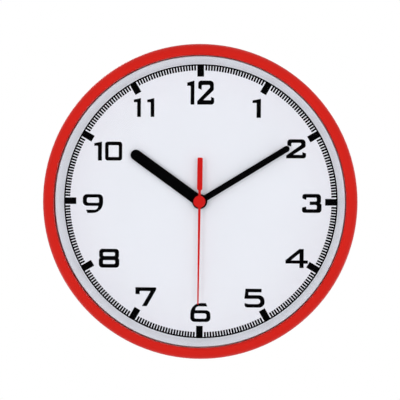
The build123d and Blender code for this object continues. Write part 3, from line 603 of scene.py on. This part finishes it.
FINISHES: tuple[Finish, ...] = (
    MouldedFinish(
        "rim_red", tone(208, 31, 22), cloud_scale=26.0, roughness=0.36,
        grain_scale=1500.0, grain_strength=0.06, grain_depth_mm=0.015, specular=0.10,
    ),
    PaneFinish("lens_clear"),
    MouldedFinish(
        "ring_white", tone(237, 240, 247), cloud=0.012, cloud_scale=40.0, roughness=0.46, specular=0.35,
    ),
    MouldedFinish(
        "dial_white", tone(239, 242, 249), cloud=0.010, cloud_scale=30.0, roughness=0.62, spread=0.08,
        grain_scale=3400.0, grain_strength=0.03, grain_depth_mm=0.005, specular=0.2,
    ),
    MouldedFinish(
        "back_white", tone(226, 227, 230), cloud=0.025, cloud_scale=35.0, roughness=0.52, spread=0.12,
        grain_scale=2200.0, grain_strength=0.30, grain_depth_mm=0.03, specular=0.4, dust=0.35,
    ),
    MouldedFinish(
        "hand_black", tone(3, 3, 4), cloud=0.15, cloud_scale=90.0, roughness=0.55, spread=0.08,
        grain_scale=3000.0, grain_strength=0.10, grain_depth_mm=0.01, specular=0.02,
    ),
    MouldedFinish(
        "second_red", tone(207, 20, 16), cloud=0.04, cloud_scale=90.0, roughness=0.42, spread=0.08,
        grain_scale=3000.0, grain_strength=0.08, grain_depth_mm=0.01, specular=0.12,
    ),
    MouldedFinish("cap_red", tone(209, 20, 15), cloud_scale=160.0, roughness=0.4, specular=0.15),
    MouldedFinish(
        "movement_black", tone(30, 30, 32), cloud=0.12, cloud_scale=70.0, roughness=0.56, spread=0.16,
        grain_scale=1900.0, grain_strength=0.3, grain_depth_mm=0.03, specular=0.4, dust=0.12,
    ),
    MouldedFinish("plate_ivory", tone(218, 214, 200), roughness=0.48),
    MouldedFinish("wheel_plastic", tone(229, 228, 221), roughness=0.40),
    MouldedFinish("wheel_black", tone(46, 46, 47), cloud=0.08),
    MouldedFinish(
        "knob_white", tone(212, 213, 217), cloud_scale=110.0, roughness=0.44, grain_strength=0.2, dust=0.2,
    ),
    MouldedFinish(
        "board_tan", tone(156, 124, 74), cloud=0.12, cloud_scale=420.0, roughness=0.5, grain_strength=0.3,
    ),
    MouldedFinish("resin_black", tone(14, 14, 15), cloud=0.1, roughness=0.25),
    MetalFinish("pipe_brass", tone(221, 188, 118), stretch=(1.0, 0.1, 1.0), roughness=0.28),
    MetalFinish("steel", tone(198, 199, 201)),
    MetalFinish("magnet_grey", tone(92, 92, 94), roughness=0.55, stretch=(1.0, 1.0, 1.0)),
    WoundFinish("copper", tone(204, 137, 93)),
    CellFinish(
        "cell_wrap", tone(60, 78, 104), tone(168, 172, 178), tone(190, 191, 193),
        band_from=12.5 * MM, bare_from=-24.55 * MM, bare_to=24.3 * MM,
    ),
)


@dataclass(frozen=True)
class DigitOutline:
    """One digit on a drawing grid: its size and its closed loops, each corner with its rounding."""

    width: float
    height: float
    loops: tuple[tuple[Corner, ...], ...]

    def turned(self) -> "DigitOutline":
        """Give the same outline turned half round."""
        return DigitOutline(self.width, self.height, tuple(
            tuple((self.width - x, self.height - y, r) for x, y, r in loop) for loop in self.loops
        ))


SIX = DigitOutline(20.1, 18.5, (
    (
        (0.0, 0.0, 4.2), (20.1, 0.0, 4.2), (20.1, 11.4, 4.4), (4.6, 11.4, 0.3), (5.4, 15.5, 3.4),
        (16.8, 15.5, 0.2), (15.5, 18.5, 0.4), (0.0, 18.5, 10.5),
    ),
    ((3.8, 3.0, 1.6), (16.3, 3.0, 1.8), (16.3, 8.5, 1.8), (3.8, 8.5, 1.0)),
))

DIGITS: dict[str, DigitOutline] = {
    "0": DigitOutline(17.2, 18.7, (
        ((0.0, 0.0, 2.8), (17.2, 0.0, 2.8), (17.2, 18.7, 2.8), (0.0, 18.7, 2.8)),
        ((3.3, 3.3, 0.5), (14.0, 3.3, 0.5), (14.0, 15.4, 0.5), (3.3, 15.4, 0.5)),
    )),
    "1": DigitOutline(8.0, 19.0, ((
        (4.0, 0.0, 0.3), (8.0, 0.0, 0.3), (8.0, 19.0, 0.3), (0.0, 17.4, 0.3), (0.0, 15.0, 0.3),
        (4.0, 15.0, 0.2),
    ),)),
    "2": DigitOutline(20.0, 18.9, ((
        (0.0, 0.0, 0.6), (20.0, 0.0, 2.6), (20.0, 4.8, 0.5), (16.5, 6.0, 0.3), (16.5, 3.3, 0.3),
        (6.4, 3.3, 0.2), (19.5, 11.5, 2.0), (19.5, 18.9, 3.6), (1.1, 18.9, 3.0), (1.1, 12.9, 0.4),
        (5.0, 11.8, 0.3), (5.0, 15.6, 0.6), (15.2, 15.6, 0.9), (15.2, 13.3, 1.0), (0.0, 2.6, 0.8),
    ),)),
    "3": DigitOutline(19.5, 18.7, ((
        (0.0, 0.0, 2.6), (19.5, 0.0, 3.4), (19.5, 8.7, 1.8), (17.5, 9.5, 0.3), (18.9, 10.3, 1.8),
        (18.9, 18.7, 3.2), (0.3, 18.7, 2.6), (0.3, 14.4, 0.4), (4.0, 13.0, 0.3), (4.0, 15.3, 0.6),
        (14.9, 15.3, 1.2), (14.9, 11.1, 1.2), (7.8, 11.1, 0.3), (7.8, 7.9, 0.3), (15.0, 7.9, 1.2),
        (15.0, 3.3, 1.2), (4.0, 3.3, 0.6), (4.0, 6.0, 0.4), (0.0, 4.9, 0.4),
    ),)),
    "4": DigitOutline(22.2, 18.7, (
        (
            (14.1, 0.0, 0.2), (18.0, 0.0, 0.2), (18.0, 4.4, 0.1), (22.2, 4.4, 0.2), (22.2, 7.3, 0.2),
            (18.0, 7.3, 0.1), (18.0, 18.7, 0.3), (13.7, 18.7, 0.3), (0.0, 7.6, 0.3), (0.0, 4.4, 0.3),
            (14.1, 4.4, 0.1),
        ),
        ((4.9, 7.3, 0.2), (14.1, 7.3, 0.2), (14.1, 14.8, 0.2)),
    )),
    "5": DigitOutline(19.7, 17.8, ((
        (0.2, 0.0, 2.4), (19.7, 0.0, 5.4), (19.7, 11.6, 5.6), (3.5, 11.6, 0.4), (3.8, 14.7, 0.4),
        (16.7, 14.7, 0.2), (16.7, 17.8, 0.2), (1.0, 17.8, 0.2), (0.0, 8.3, 0.3), (15.7, 8.5, 2.6),
        (15.7, 3.1, 2.6), (3.8, 3.1, 1.0), (0.2, 4.0, 0.3),
    ),)),
    "6": SIX,
    "7": DigitOutline(20.5, 18.2, ((
        (6.6, 0.0, 0.2), (11.2, 0.0, 0.2), (20.5, 16.2, 0.6), (20.5, 18.2, 0.6), (0.0, 18.2, 0.3),
        (0.0, 11.8, 0.2), (4.0, 11.6, 0.2), (4.0, 14.8, 0.5), (15.3, 14.8, 0.3),
    ),)),
    "8": DigitOutline(20.3, 17.8, (
        (
            (0.0, 0.0, 3.4), (20.3, 0.0, 3.4), (20.3, 8.5, 2.4), (18.2, 9.2, 0.3), (20.0, 9.9, 2.4),
            (20.0, 17.8, 3.2), (0.3, 17.8, 3.2), (0.3, 9.9, 2.4), (2.1, 9.2, 0.3), (0.0, 8.5, 2.4),
        ),
        ((4.0, 10.9, 1.1), (16.2, 10.9, 1.1), (16.2, 14.7, 1.1), (4.0, 14.7, 1.1)),
        ((3.9, 3.3, 1.1), (16.4, 3.3, 1.1), (16.4, 7.2, 1.1), (3.9, 7.2, 1.1)),
    )),
    "9": SIX.turned(),
}


def rounded_loop(corners: Sequence[Corner], steps: int = 6, most: float = 0.72) -> list[Spot]:
    """Round the corners of a closed outline.

    Args:
        corners: The corners in order, each as x, y and its rounding.
        steps: Straight pieces in each rounded corner.
        most: The share of an edge that one corner may take.

    Returns:
        The points of the rounded outline.
    """
    points: list[Spot] = []
    for index, (x, y, radius) in enumerate(corners):
        here = Vector((x, y))
        before = Vector(corners[index - 1][:2]) - here
        after = Vector(corners[(index + 1) % len(corners)][:2]) - here
        half = before.angle(after) / 2
        reach = min(radius / math.tan(half), most * before.length, most * after.length)
        start, end = here + before.normalized() * reach, here + after.normalized() * reach
        inward = (before.normalized() + after.normalized()).normalized()
        centre = here + inward * (reach / math.cos(half))
        first = math.atan2(start.y - centre.y, start.x - centre.x)
        last = math.atan2(end.y - centre.y, end.x - centre.x)
        turn = (last - first + math.pi) % (2 * math.pi) - math.pi
        size = (start - centre).length
        for step in range(steps + 1):
            angle = first + turn * step / steps
            points.append((centre.x + size * math.cos(angle), centre.y + size * math.sin(angle)))
    return points


def spread_loop(corners: Sequence[Corner], spread: float) -> list[Corner]:
    """Move every edge of a closed outline outwards, as ink does when it runs.

    Args:
        corners: The corners in order, each as x, y and its rounding.
        spread: How far the edges move, negative to move them inwards.

    Returns:
        The corners of the wider outline.
    """
    spots = [Vector(corner[:2]) for corner in corners]
    area = sum(spot.x * spots[i - 1].y - spot.y * spots[i - 1].x for i, spot in enumerate(spots))
    side = -1.0 if area > 0 else 1.0
    moved: list[Corner] = []
    for index, here in enumerate(spots):
        into = (here - spots[index - 1]).normalized()
        away = (spots[(index + 1) % len(spots)] - here).normalized()
        first, second = Vector((into.y, -into.x)) * side, Vector((away.y, -away.x)) * side
        shift = (first + second) * (spread / (1 + first.dot(second)))
        moved.append((here.x + shift.x, here.y + shift.y, corners[index][2]))
    return moved


@dataclass
class FlatShape:
    """A thin flat shape on a plane parallel to the dial, drawn as closed loops in millimetres."""

    name: str
    loops: list[list[Spot]]
    low_mm: float
    high_mm: float

    def build(self) -> Object:
        """Fill the loops, thicken them and lay them on their plane.

        Returns:
            The finished piece, with its place in its mesh.
        """
        Bench.clear()
        curve = bpy.data.curves.new(self.name, "CURVE")
        curve.dimensions = "2D"
        curve.fill_mode = "BOTH"
        curve.extrude = abs(self.high_mm - self.low_mm) / 2 * MM
        for loop in self.loops:
            spline = curve.splines.new("POLY")
            spline.points.add(len(loop) - 1)
            for point, (x, y) in zip(spline.points, loop):
                point.co = (x * MM, y * MM, 0.0, 1.0)
            spline.use_cyclic_u = True
        piece = bpy.data.objects.new(self.name, curve)
        bpy.context.collection.objects.link(piece)
        Bench.take(piece)
        bpy.ops.object.convert(target="MESH")
        piece = bpy.context.view_layer.objects.active
        piece.rotation_euler = (math.pi / 2, 0.0, 0.0)
        piece.location = (0.0, -(self.low_mm + self.high_mm) / 2 * MM, 0.0)
        Bench.settle(piece)
        Bench.face_out(piece)
        return piece


@dataclass(frozen=True)
class PlacedDigit:
    """One digit of the dial: which one, its middle and its size in millimetres."""

    digit: str
    x: float
    z: float
    width: float
    height: float

    def loops(self, spread: float) -> list[list[Spot]]:
        """Give the digit's rounded outlines at its place on the dial.

        Args:
            spread: How far the ink runs past the drawn edges.

        Returns:
            The outer outline, then those of the digit's holes.
        """
        outline = DIGITS[self.digit]
        across, up = self.width / outline.width, self.height / outline.height
        left, low = self.x - self.width / 2, self.z - self.height / 2
        loops = []
        for index, loop in enumerate(outline.loops):
            corners = [(left + x * across, low + y * up, r * (across + up) / 2) for x, y, r in loop]
            loops.append(rounded_loop(spread_loop(corners, -spread if index else spread)))
        return loops


@dataclass
class DialPrint:
    """The print of the dial: numerals, hour bars and minute track, and a thin black ring where the track
    ends, sizes in millimetres.
    """

    dial_height: float = 21.0
    soak: float = 0.02
    ink: float = 0.03
    spread: float = 0.1
    turn_deg: float = 0.3
    bar_inner: float = 80.0
    bar_outer: float = 88.0
    bar_width: float = 4.3
    tick_inner: float = 84.0
    tick_width: float = 1.22
    tick_count: int = 300
    tick_skip: int = 2
    line_width: float = 0.95
    line_lap: float = 0.05
    line_sides: int = 240
    digits: tuple[PlacedDigit, ...] = (
        PlacedDigit("1", -6.3, 69.8, 4.5, 15.2), PlacedDigit("2", 3.3, 69.8, 10.7, 15.2),
        PlacedDigit("1", 36.0, 59.8, 5.2, 12.0), PlacedDigit("2", 61.3, 34.0, 12.5, 12.0),
        PlacedDigit("3", 71.5, -0.8, 12.3, 11.9), PlacedDigit("4", 62.1, -36.1, 14.1, 12.0),
        PlacedDigit("5", 35.3, -61.8, 12.8, 11.9), PlacedDigit("6", 0.6, -71.4, 12.8, 12.0),
        PlacedDigit("7", -34.7, -61.6, 13.3, 12.0), PlacedDigit("8", -58.6, -37.0, 13.1, 12.0),
        PlacedDigit("9", -69.2, -1.8, 13.0, 12.0), PlacedDigit("1", -66.0, 32.1, 4.8, 12.0),
        PlacedDigit("0", -55.9, 32.1, 10.9, 12.0), PlacedDigit("1", -40.7, 60.2, 4.4, 11.9),
        PlacedDigit("1", -32.0, 60.2, 4.4, 11.9),
    )
    pieces: list[Object] = field(default_factory=list)

    @property
    def low(self) -> float:
        """Height of the ink's underside."""
        return self.dial_height - self.soak

    @property
    def high(self) -> float:
        """Height of the ink's face."""
        return self.dial_height + self.ink

    def build(self) -> None:
        """Model every part of the print and turn it the way the dial sits."""
        self.pieces = [self._numerals(), self._bars(), self._ticks(), self._outer_line()]
        for piece in self.pieces:
            piece.rotation_euler = (0.0, math.radians(self.turn_deg), 0.0)
            Bench.settle(piece)

    def dress(self, ink: Material) -> None:
        """Ink the print and let it ride with the dial.

        Args:
            ink: The black of the print.
        """
        for piece in self.pieces:
            coat(piece, ink)
            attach(piece, "case")

    def _numerals(self) -> Object:
        """Print the hours as numbers."""
        loops = [loop for digit in self.digits for loop in digit.loops(self.spread)]
        return FlatShape("dial_numerals", loops, self.low, self.high).build()

    def _stroke(
        self, name: str, inner: float, width: float, lead: float, runs: Sequence[tuple[int, float]]
    ) -> Object:
        """Model one stroke of a scale, which ends at the outer line, and repeat it round the dial.

        Args:
            name: The piece's name.
            inner: Radius of the stroke's inner end.
            width: Its width.
            lead: How far the first stroke lies before twelve, in degrees.
            runs: How often all that is there goes round against the clock, and at which step in degrees.

        Returns:
            The piece with all its strokes.
        """
        Bench.clear()
        outer = self.bar_outer - self.line_width + self.line_lap
        middle = (0.0, -(self.low + self.high) / 2 * MM, (inner + outer) / 2 * MM)
        size = (width * MM, (self.high - self.low) * MM, (outer - inner) * MM)
        bpy.ops.mesh.primitive_cube_add(size=1.0, location=middle, scale=size)
        piece = bpy.context.view_layer.objects.active
        piece.name = piece.data.name = name
        Bench.settle(piece)
        piece.rotation_euler = (0.0, -math.radians(lead), 0.0)
        Bench.settle(piece)
        for count, step in runs:
            with Bench.editing(piece):
                bpy.ops.mesh.spin(
                    steps=count - 1, dupli=True, angle=math.radians(step) * (count - 1),
                    center=(0.0, 0.0, 0.0), axis=(0.0, 1.0, 0.0),
                )
        return piece

    def _bars(self) -> Object:
        """Print the twelve hour bars."""
        runs = ((HOURS, HOUR_STEP_DEG),)
        return self._stroke("dial_hour_bars", self.bar_inner, self.bar_width, 0.0, runs)

    def _ticks(self) -> Object:
        """Print the fine strokes of the minute track, with room left for the hour bars.

        Returns:
            The piece with all its strokes.
        """
        step = 360.0 / self.tick_count
        count = self.tick_count // HOURS - 2 * self.tick_skip + 1
        runs = ((count, step), (HOURS, HOUR_STEP_DEG))
        lead = self.tick_skip * step
        return self._stroke("dial_minute_track", self.tick_inner, self.tick_width, lead, runs)

    def _outer_line(self) -> Object:
        """Lay the thin black ring at which the minute track ends, just inside the foot of the white ring.

        Returns:
            The line as one flat ring.
        """
        Bench.clear()
        bpy.ops.mesh.primitive_circle_add(
            vertices=self.line_sides, radius=(self.bar_outer - self.line_width) * MM, fill_type="NOTHING",
            location=(0.0, -self.high * MM, 0.0), rotation=(math.pi / 2, 0.0, 0.0),
        )
        piece = bpy.context.view_layer.objects.active
        piece.name = piece.data.name = "dial_outer_line"
        Bench.settle(piece)
        wider = self.bar_outer / (self.bar_outer - self.line_width)
        with Bench.editing(piece):
            bpy.ops.mesh.extrude_region_move(TRANSFORM_OT_translate={"value": (0.0, 0.0, 0.0)})
            bpy.ops.transform.resize(value=(wider, 1.0, wider), center_override=(0.0, -self.high * MM, 0.0))
            bpy.ops.mesh.select_all(action="SELECT")
            bpy.ops.mesh.extrude_region_move(
                TRANSFORM_OT_translate={"value": (0.0, (self.high - self.low) * MM, 0.0)}
            )
        Bench.face_out(piece)
        return piece


@dataclass
class CoverSigns:
    """Raised signs on the movement's back: the cell's poles and the way to turn the knob, in millimetres."""

    cover_height: float = 2.0
    rise: float = 0.25
    sink: float = 0.05
    edge_round: float = 0.06
    round_steps: int = 2
    sign_size: float = 2.6
    sign_cells: int = 3
    sign_z: float = -9.4
    plus_x: float = 22.0
    minus_x: float = -22.0
    knob: Spot = (18.096, 0.065)
    arrow_radius: float = 9.6
    arrow_width: float = 0.8
    arrow_from_deg: float = 165.0
    arrow_to_deg: float = 75.0
    arrow_steps: int = 18
    head_deg: float = 11.0
    head_overhang: float = 0.56
    pieces: list[Object] = field(default_factory=list)

    @property
    def cell(self) -> float:
        """Width of one cell of a sign, which is the width of its strokes."""
        return self.sign_size / self.sign_cells

    def build(self) -> None:
        """Model the signs."""
        self.pieces = [self._plus(), self._minus(), self._arrow()]

    def dress(self, paint: Material) -> None:
        """Paint the signs white and let them ride with the cover.

        Args:
            paint: The white of the signs.
        """
        for piece in self.pieces:
            coat(piece, paint)
            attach(piece, "case")

    def _plate(self, name: str, x: float, columns: int, rows: int) -> Object:
        """Lay a gridded plate on the cover.

        Args:
            name: The piece's name.
            x: Its middle across the cover.
            columns: Cells across it.
            rows: Cells up it.

        Returns:
            The plate, still flat.
        """
        Bench.clear()
        bpy.ops.mesh.primitive_grid_add(
            x_subdivisions=columns, y_subdivisions=rows, size=1.0,
            location=(x * MM, -self.cover_height * MM, self.sign_z * MM), rotation=(-math.pi / 2, 0.0, 0.0),
        )
        piece = bpy.context.view_layer.objects.active
        piece.name = piece.data.name = name
        piece.scale = (columns * self.cell * MM, rows * self.cell * MM, 1.0)
        Bench.settle(piece)
        return piece

    def _finish(self, piece: Object) -> Object:
        """Thicken a flat sign, soften its edges and seat it on the cover.

        Args:
            piece: The flat sign on the plane of the cover's back.

        Returns:
            The finished sign.
        """
        Bench.apply(piece, "SOLIDIFY", thickness=(self.rise + self.sink) * MM, offset=1.0)
        Bench.face_out(piece)
        Bench.apply(
            piece, "BEVEL", width=self.edge_round * MM, segments=self.round_steps, limit_method="ANGLE"
        )
        piece.location = (0.0, -self.sink * MM, 0.0)
        Bench.settle(piece)
        return piece

    def _plus(self) -> Object:
        """Raise a plus at the cell's raised pole.

        Returns:
            The finished sign.
        """
        piece = self._plate("cover_plus_sign", self.plus_x, self.sign_cells, self.sign_cells)
        with Bench.editing(piece):
            bpy.ops.mesh.select_mode(type="FACE")
            bpy.ops.mesh.select_all(action="DESELECT")
        reach = self.cell / 2 * MM
        for face in piece.data.polygons:
            away_x = abs(face.center.x - self.plus_x * MM) > reach
            away_z = abs(face.center.z - self.sign_z * MM) > reach
            face.select = away_x and away_z
        bpy.ops.object.mode_set(mode="EDIT")
        bpy.ops.mesh.delete(type="FACE")
        bpy.ops.mesh.select_mode(type="VERT")
        bpy.ops.object.mode_set(mode="OBJECT")
        return self._finish(piece)

    def _minus(self) -> Object:
        """Raise a minus at the cell's flat pole."""
        return self._finish(self._plate("cover_minus_sign", self.minus_x, self.sign_cells, 1))

    def _arrow(self) -> Object:
        """Raise a curved arrow beside the knob.

        Returns:
            The finished sign.
        """
        def point(radius: float, degrees: float) -> Spot:
            """Point round the knob."""
            angle = math.radians(degrees)
            return self.knob[0] + radius * math.cos(angle), self.knob[1] + radius * math.sin(angle)

        inner, outer = self.arrow_radius - self.arrow_width / 2, self.arrow_radius + self.arrow_width / 2
        span = self.arrow_to_deg - self.arrow_from_deg
        sweep = [self.arrow_from_deg + span * step / self.arrow_steps for step in range(self.arrow_steps + 1)]
        loop = [point(outer, turn) for turn in sweep]
        loop += [
            point(outer + self.head_overhang, self.arrow_to_deg),
            point(self.arrow_radius, self.arrow_to_deg + math.copysign(self.head_deg, span)),
            point(inner - self.head_overhang, self.arrow_to_deg),
        ]
        loop += [point(inner, turn) for turn in reversed(sweep)]
        shape = FlatShape(
            "cover_set_arrow", [loop], self.cover_height - self.rise, self.cover_height + self.sink
        )
        return shape.build()


class Clock:
    """The whole clock: the frame's pieces in their finishes, with the print and the signs added."""

    def __init__(self, effects: Effects) -> None:
        """Make the finishes.

        Args:
            effects: The shared surface effects.
        """
        self.materials = {finish.name: finish.material(effects) for finish in FINISHES}
        self.print = DialPrint()
        self.signs = CoverSigns()

    def build(self) -> None:
        """Model the pieces that the frame doesn't have."""
        self.print.build()
        self.signs.build()

    def dress(self) -> None:
        """Give every piece its finish."""
        slots = {part["node"]: part["material_slot"] for part in frame["record"]["subparts"]}
        for name, piece in frame["nodes"].items():
            material = self.materials[slots[name]]
            for slot in piece.material_slots:
                slot.material = material
            LOG.info("%s: %s", name, material.name)
        self.print.dress(self.materials["hand_black"])
        self.signs.dress(self.materials["knob_white"])


@dataclass
class Lamp:
    """A soft square lamp that looks at the clock, in metres and watts, and whether a mirror shows it."""

    name: str
    place: Place
    size: float
    power: float
    mirrored: bool = True
    aim: Place = (0.0, -0.02, 0.0)

    def build(self) -> None:
        """Hang the lamp."""
        light = bpy.data.lights.new(self.name, "AREA")
        light.shape = "SQUARE"
        light.size = self.size
        light.energy = self.power
        lamp = bpy.data.objects.new(self.name, light)
        bpy.context.collection.objects.link(lamp)
        way = Vector(self.aim) - Vector(self.place)
        lamp.location = self.place
        lamp.rotation_euler = way.to_track_quat("-Z", "Y").to_euler()
        lamp.visible_glossy = lamp.visible_transmission = self.mirrored


@dataclass
class Studio:
    """A white studio: a pale floor, even light all round, soft lamps on every side, and the camera."""

    floor_z: float = -0.36
    floor_size: float = 2.4
    floor_tone: Colour = (0.8, 0.8, 0.8, 1.0)
    glow_from: float = 0.2
    glow_to: float = 1.0
    glow_near: float = 0.46
    glow_far: float = 0.76
    ambient: float = 0.70
    ambient_tone: Colour = (0.985, 0.99, 1.0, 1.0)
    dark_front: float = 0.006
    dark_until: float = -0.6
    bright_from: float = 0.0
    azimuth_deg: float = 3.3
    elevation_deg: float = 1.0
    distance: float = 0.8016
    field_deg: float = 18.0
    nearest: float = 0.01
    aim: Place = (0.0005, -0.0305, 0.0011)
    lamps: tuple[Lamp, ...] = (
        Lamp("lamp_front_left", (-0.5, -1.25, 0.1), 0.35, 2.6, False),
        Lamp("lamp_front_right", (0.5, -1.25, 0.1), 0.35, 2.6, False),
        Lamp("lamp_side_left", (-0.8, -0.65, -0.15), 0.7, 0.8, False),
        Lamp("lamp_side_right", (0.8, -0.65, -0.15), 0.7, 0.8, False),
        Lamp("lamp_back_left", (-0.55, 1.15, 0.5), 0.6, 3.0),
        Lamp("lamp_back_right", (0.55, 1.15, 0.3), 0.6, 2.0),
    )

    def build(self) -> None:
        """Set up the floor, the light and the camera."""
        self._floor()
        self._world()
        for lamp in self.lamps:
            lamp.build()
        self._camera()
        bpy.context.scene.view_settings.view_transform = "Standard"

    @staticmethod
    def _seen(desk: Desk, path: NodeOutputs) -> NodeSocket:
        """Tell rays that show the background, which give 1, from rays that carry light."""
        mirrored = desk.maths("MAXIMUM", path["Is Glossy Ray"], path["Is Transmission Ray"])
        return desk.maths("MAXIMUM", path["Is Camera Ray"], mirrored)

    def _dimmed(self, desk: Desk, path: NodeOutputs, ahead: NodeSocket) -> NodeSocket:
        """Give the share of light that a mirror loses ahead along Y, where -1 is straight out in front."""
        bright = desk.span(ahead, self.dark_until, self.bright_from, self.dark_front, 1.0)
        return desk.maths("MULTIPLY", path["Is Glossy Ray"], desk.maths("SUBTRACT", 1.0, bright))

    def _floor(self) -> None:
        """Lay a pale floor well below the clock, which keeps the clock's shadow and is clear from below."""
        Bench.clear()
        bpy.ops.mesh.primitive_plane_add(size=self.floor_size, location=(0.0, 0.0, self.floor_z))
        floor = bpy.context.view_layer.objects.active
        floor.name = "studio_floor"
        material = bpy.data.materials.new("floor_white")
        material.use_nodes = True
        desk = Desk(material.node_tree)
        desk.tree.nodes.clear()
        path = desk.add("ShaderNodeLightPath").outputs
        paint = desk.add("ShaderNodeBsdfDiffuse", {"Color": self.floor_tone})
        middle = desk.add("ShaderNodeTexCoord").outputs["Object"]
        away = desk.add("ShaderNodeVectorMath", {0: middle}, operation="LENGTH").outputs["Value"]
        lift = desk.span(away, self.glow_from, self.glow_to, self.glow_near, self.glow_far)
        strength = desk.maths("MULTIPLY", self._seen(desk, path), lift)
        glow = desk.add("ShaderNodeEmission", {"Color": WHITE, "Strength": strength})
        both = desk.add("ShaderNodeAddShader", {0: paint.outputs[0], 1: glow.outputs[0]})
        side = desk.add("ShaderNodeNewGeometry").outputs
        from_clock = desk.add("ShaderNodeVectorMath", {0: side["Position"]}, operation="NORMALIZE")
        dimmed = self._dimmed(desk, path, desk.along(from_clock.outputs["Vector"], "Y"))
        gone = desk.maths("MAXIMUM", dimmed, side["Backfacing"])
        clear = desk.add("ShaderNodeBsdfTransparent")
        mix = desk.add("ShaderNodeMixShader", {0: gone, 1: both.outputs[0], 2: clear.outputs[0]})
        desk.add("ShaderNodeOutputMaterial", {"Surface": mix.outputs[0]})
        floor.data.materials.append(material)

    def _world(self) -> None:
        """Surround the clock with white, darker behind the camera where a mirror would look."""
        world = bpy.data.worlds.new("studio")
        bpy.context.scene.world = world
        world.use_nodes = True
        desk = Desk(world.node_tree)
        desk.tree.nodes.clear()
        path = desk.add("ShaderNodeLightPath").outputs
        way = desk.add("ShaderNodeTexCoord").outputs["Generated"]
        dimmed = self._dimmed(desk, path, desk.along(way, "Y"))
        strength = desk.maths("SUBTRACT", 1.0, dimmed)
        shown = desk.add("ShaderNodeBackground", {"Color": WHITE, "Strength": strength})
        light = desk.add("ShaderNodeBackground", {"Color": self.ambient_tone, "Strength": self.ambient})
        seen = self._seen(desk, path)
        mix = desk.add("ShaderNodeMixShader", {0: seen, 1: light.outputs[0], 2: shown.outputs[0]})
        desk.add("ShaderNodeOutputWorld", {"Surface": mix.outputs[0]})

    def _camera(self) -> None:
        """Stand the camera almost straight in front, slightly above the clock and to its right."""
        turn, rise = math.radians(self.azimuth_deg), math.radians(self.elevation_deg)
        back = Vector((math.sin(turn) * math.cos(rise), -math.cos(turn) * math.cos(rise), math.sin(rise)))
        data = bpy.data.cameras.new("photo_camera")
        data.sensor_fit = "HORIZONTAL"
        data.angle = math.radians(self.field_deg)
        data.clip_start = self.nearest
        camera = bpy.data.objects.new("photo_camera", data)
        bpy.context.collection.objects.link(camera)
        camera.location = Vector(self.aim) + back * self.distance
        camera.rotation_euler = (-back).to_track_quat("-Z", "Y").to_euler()
        bpy.context.scene.camera = camera


def main() -> None:
    """Build the clock and its studio."""
    logging.basicConfig(level=logging.INFO, format="%(name)s: %(message)s")
    clock = Clock(Effects())
    clock.build()
    clock.dress()
    Studio().build()


if __name__ == "__main__":
    main()
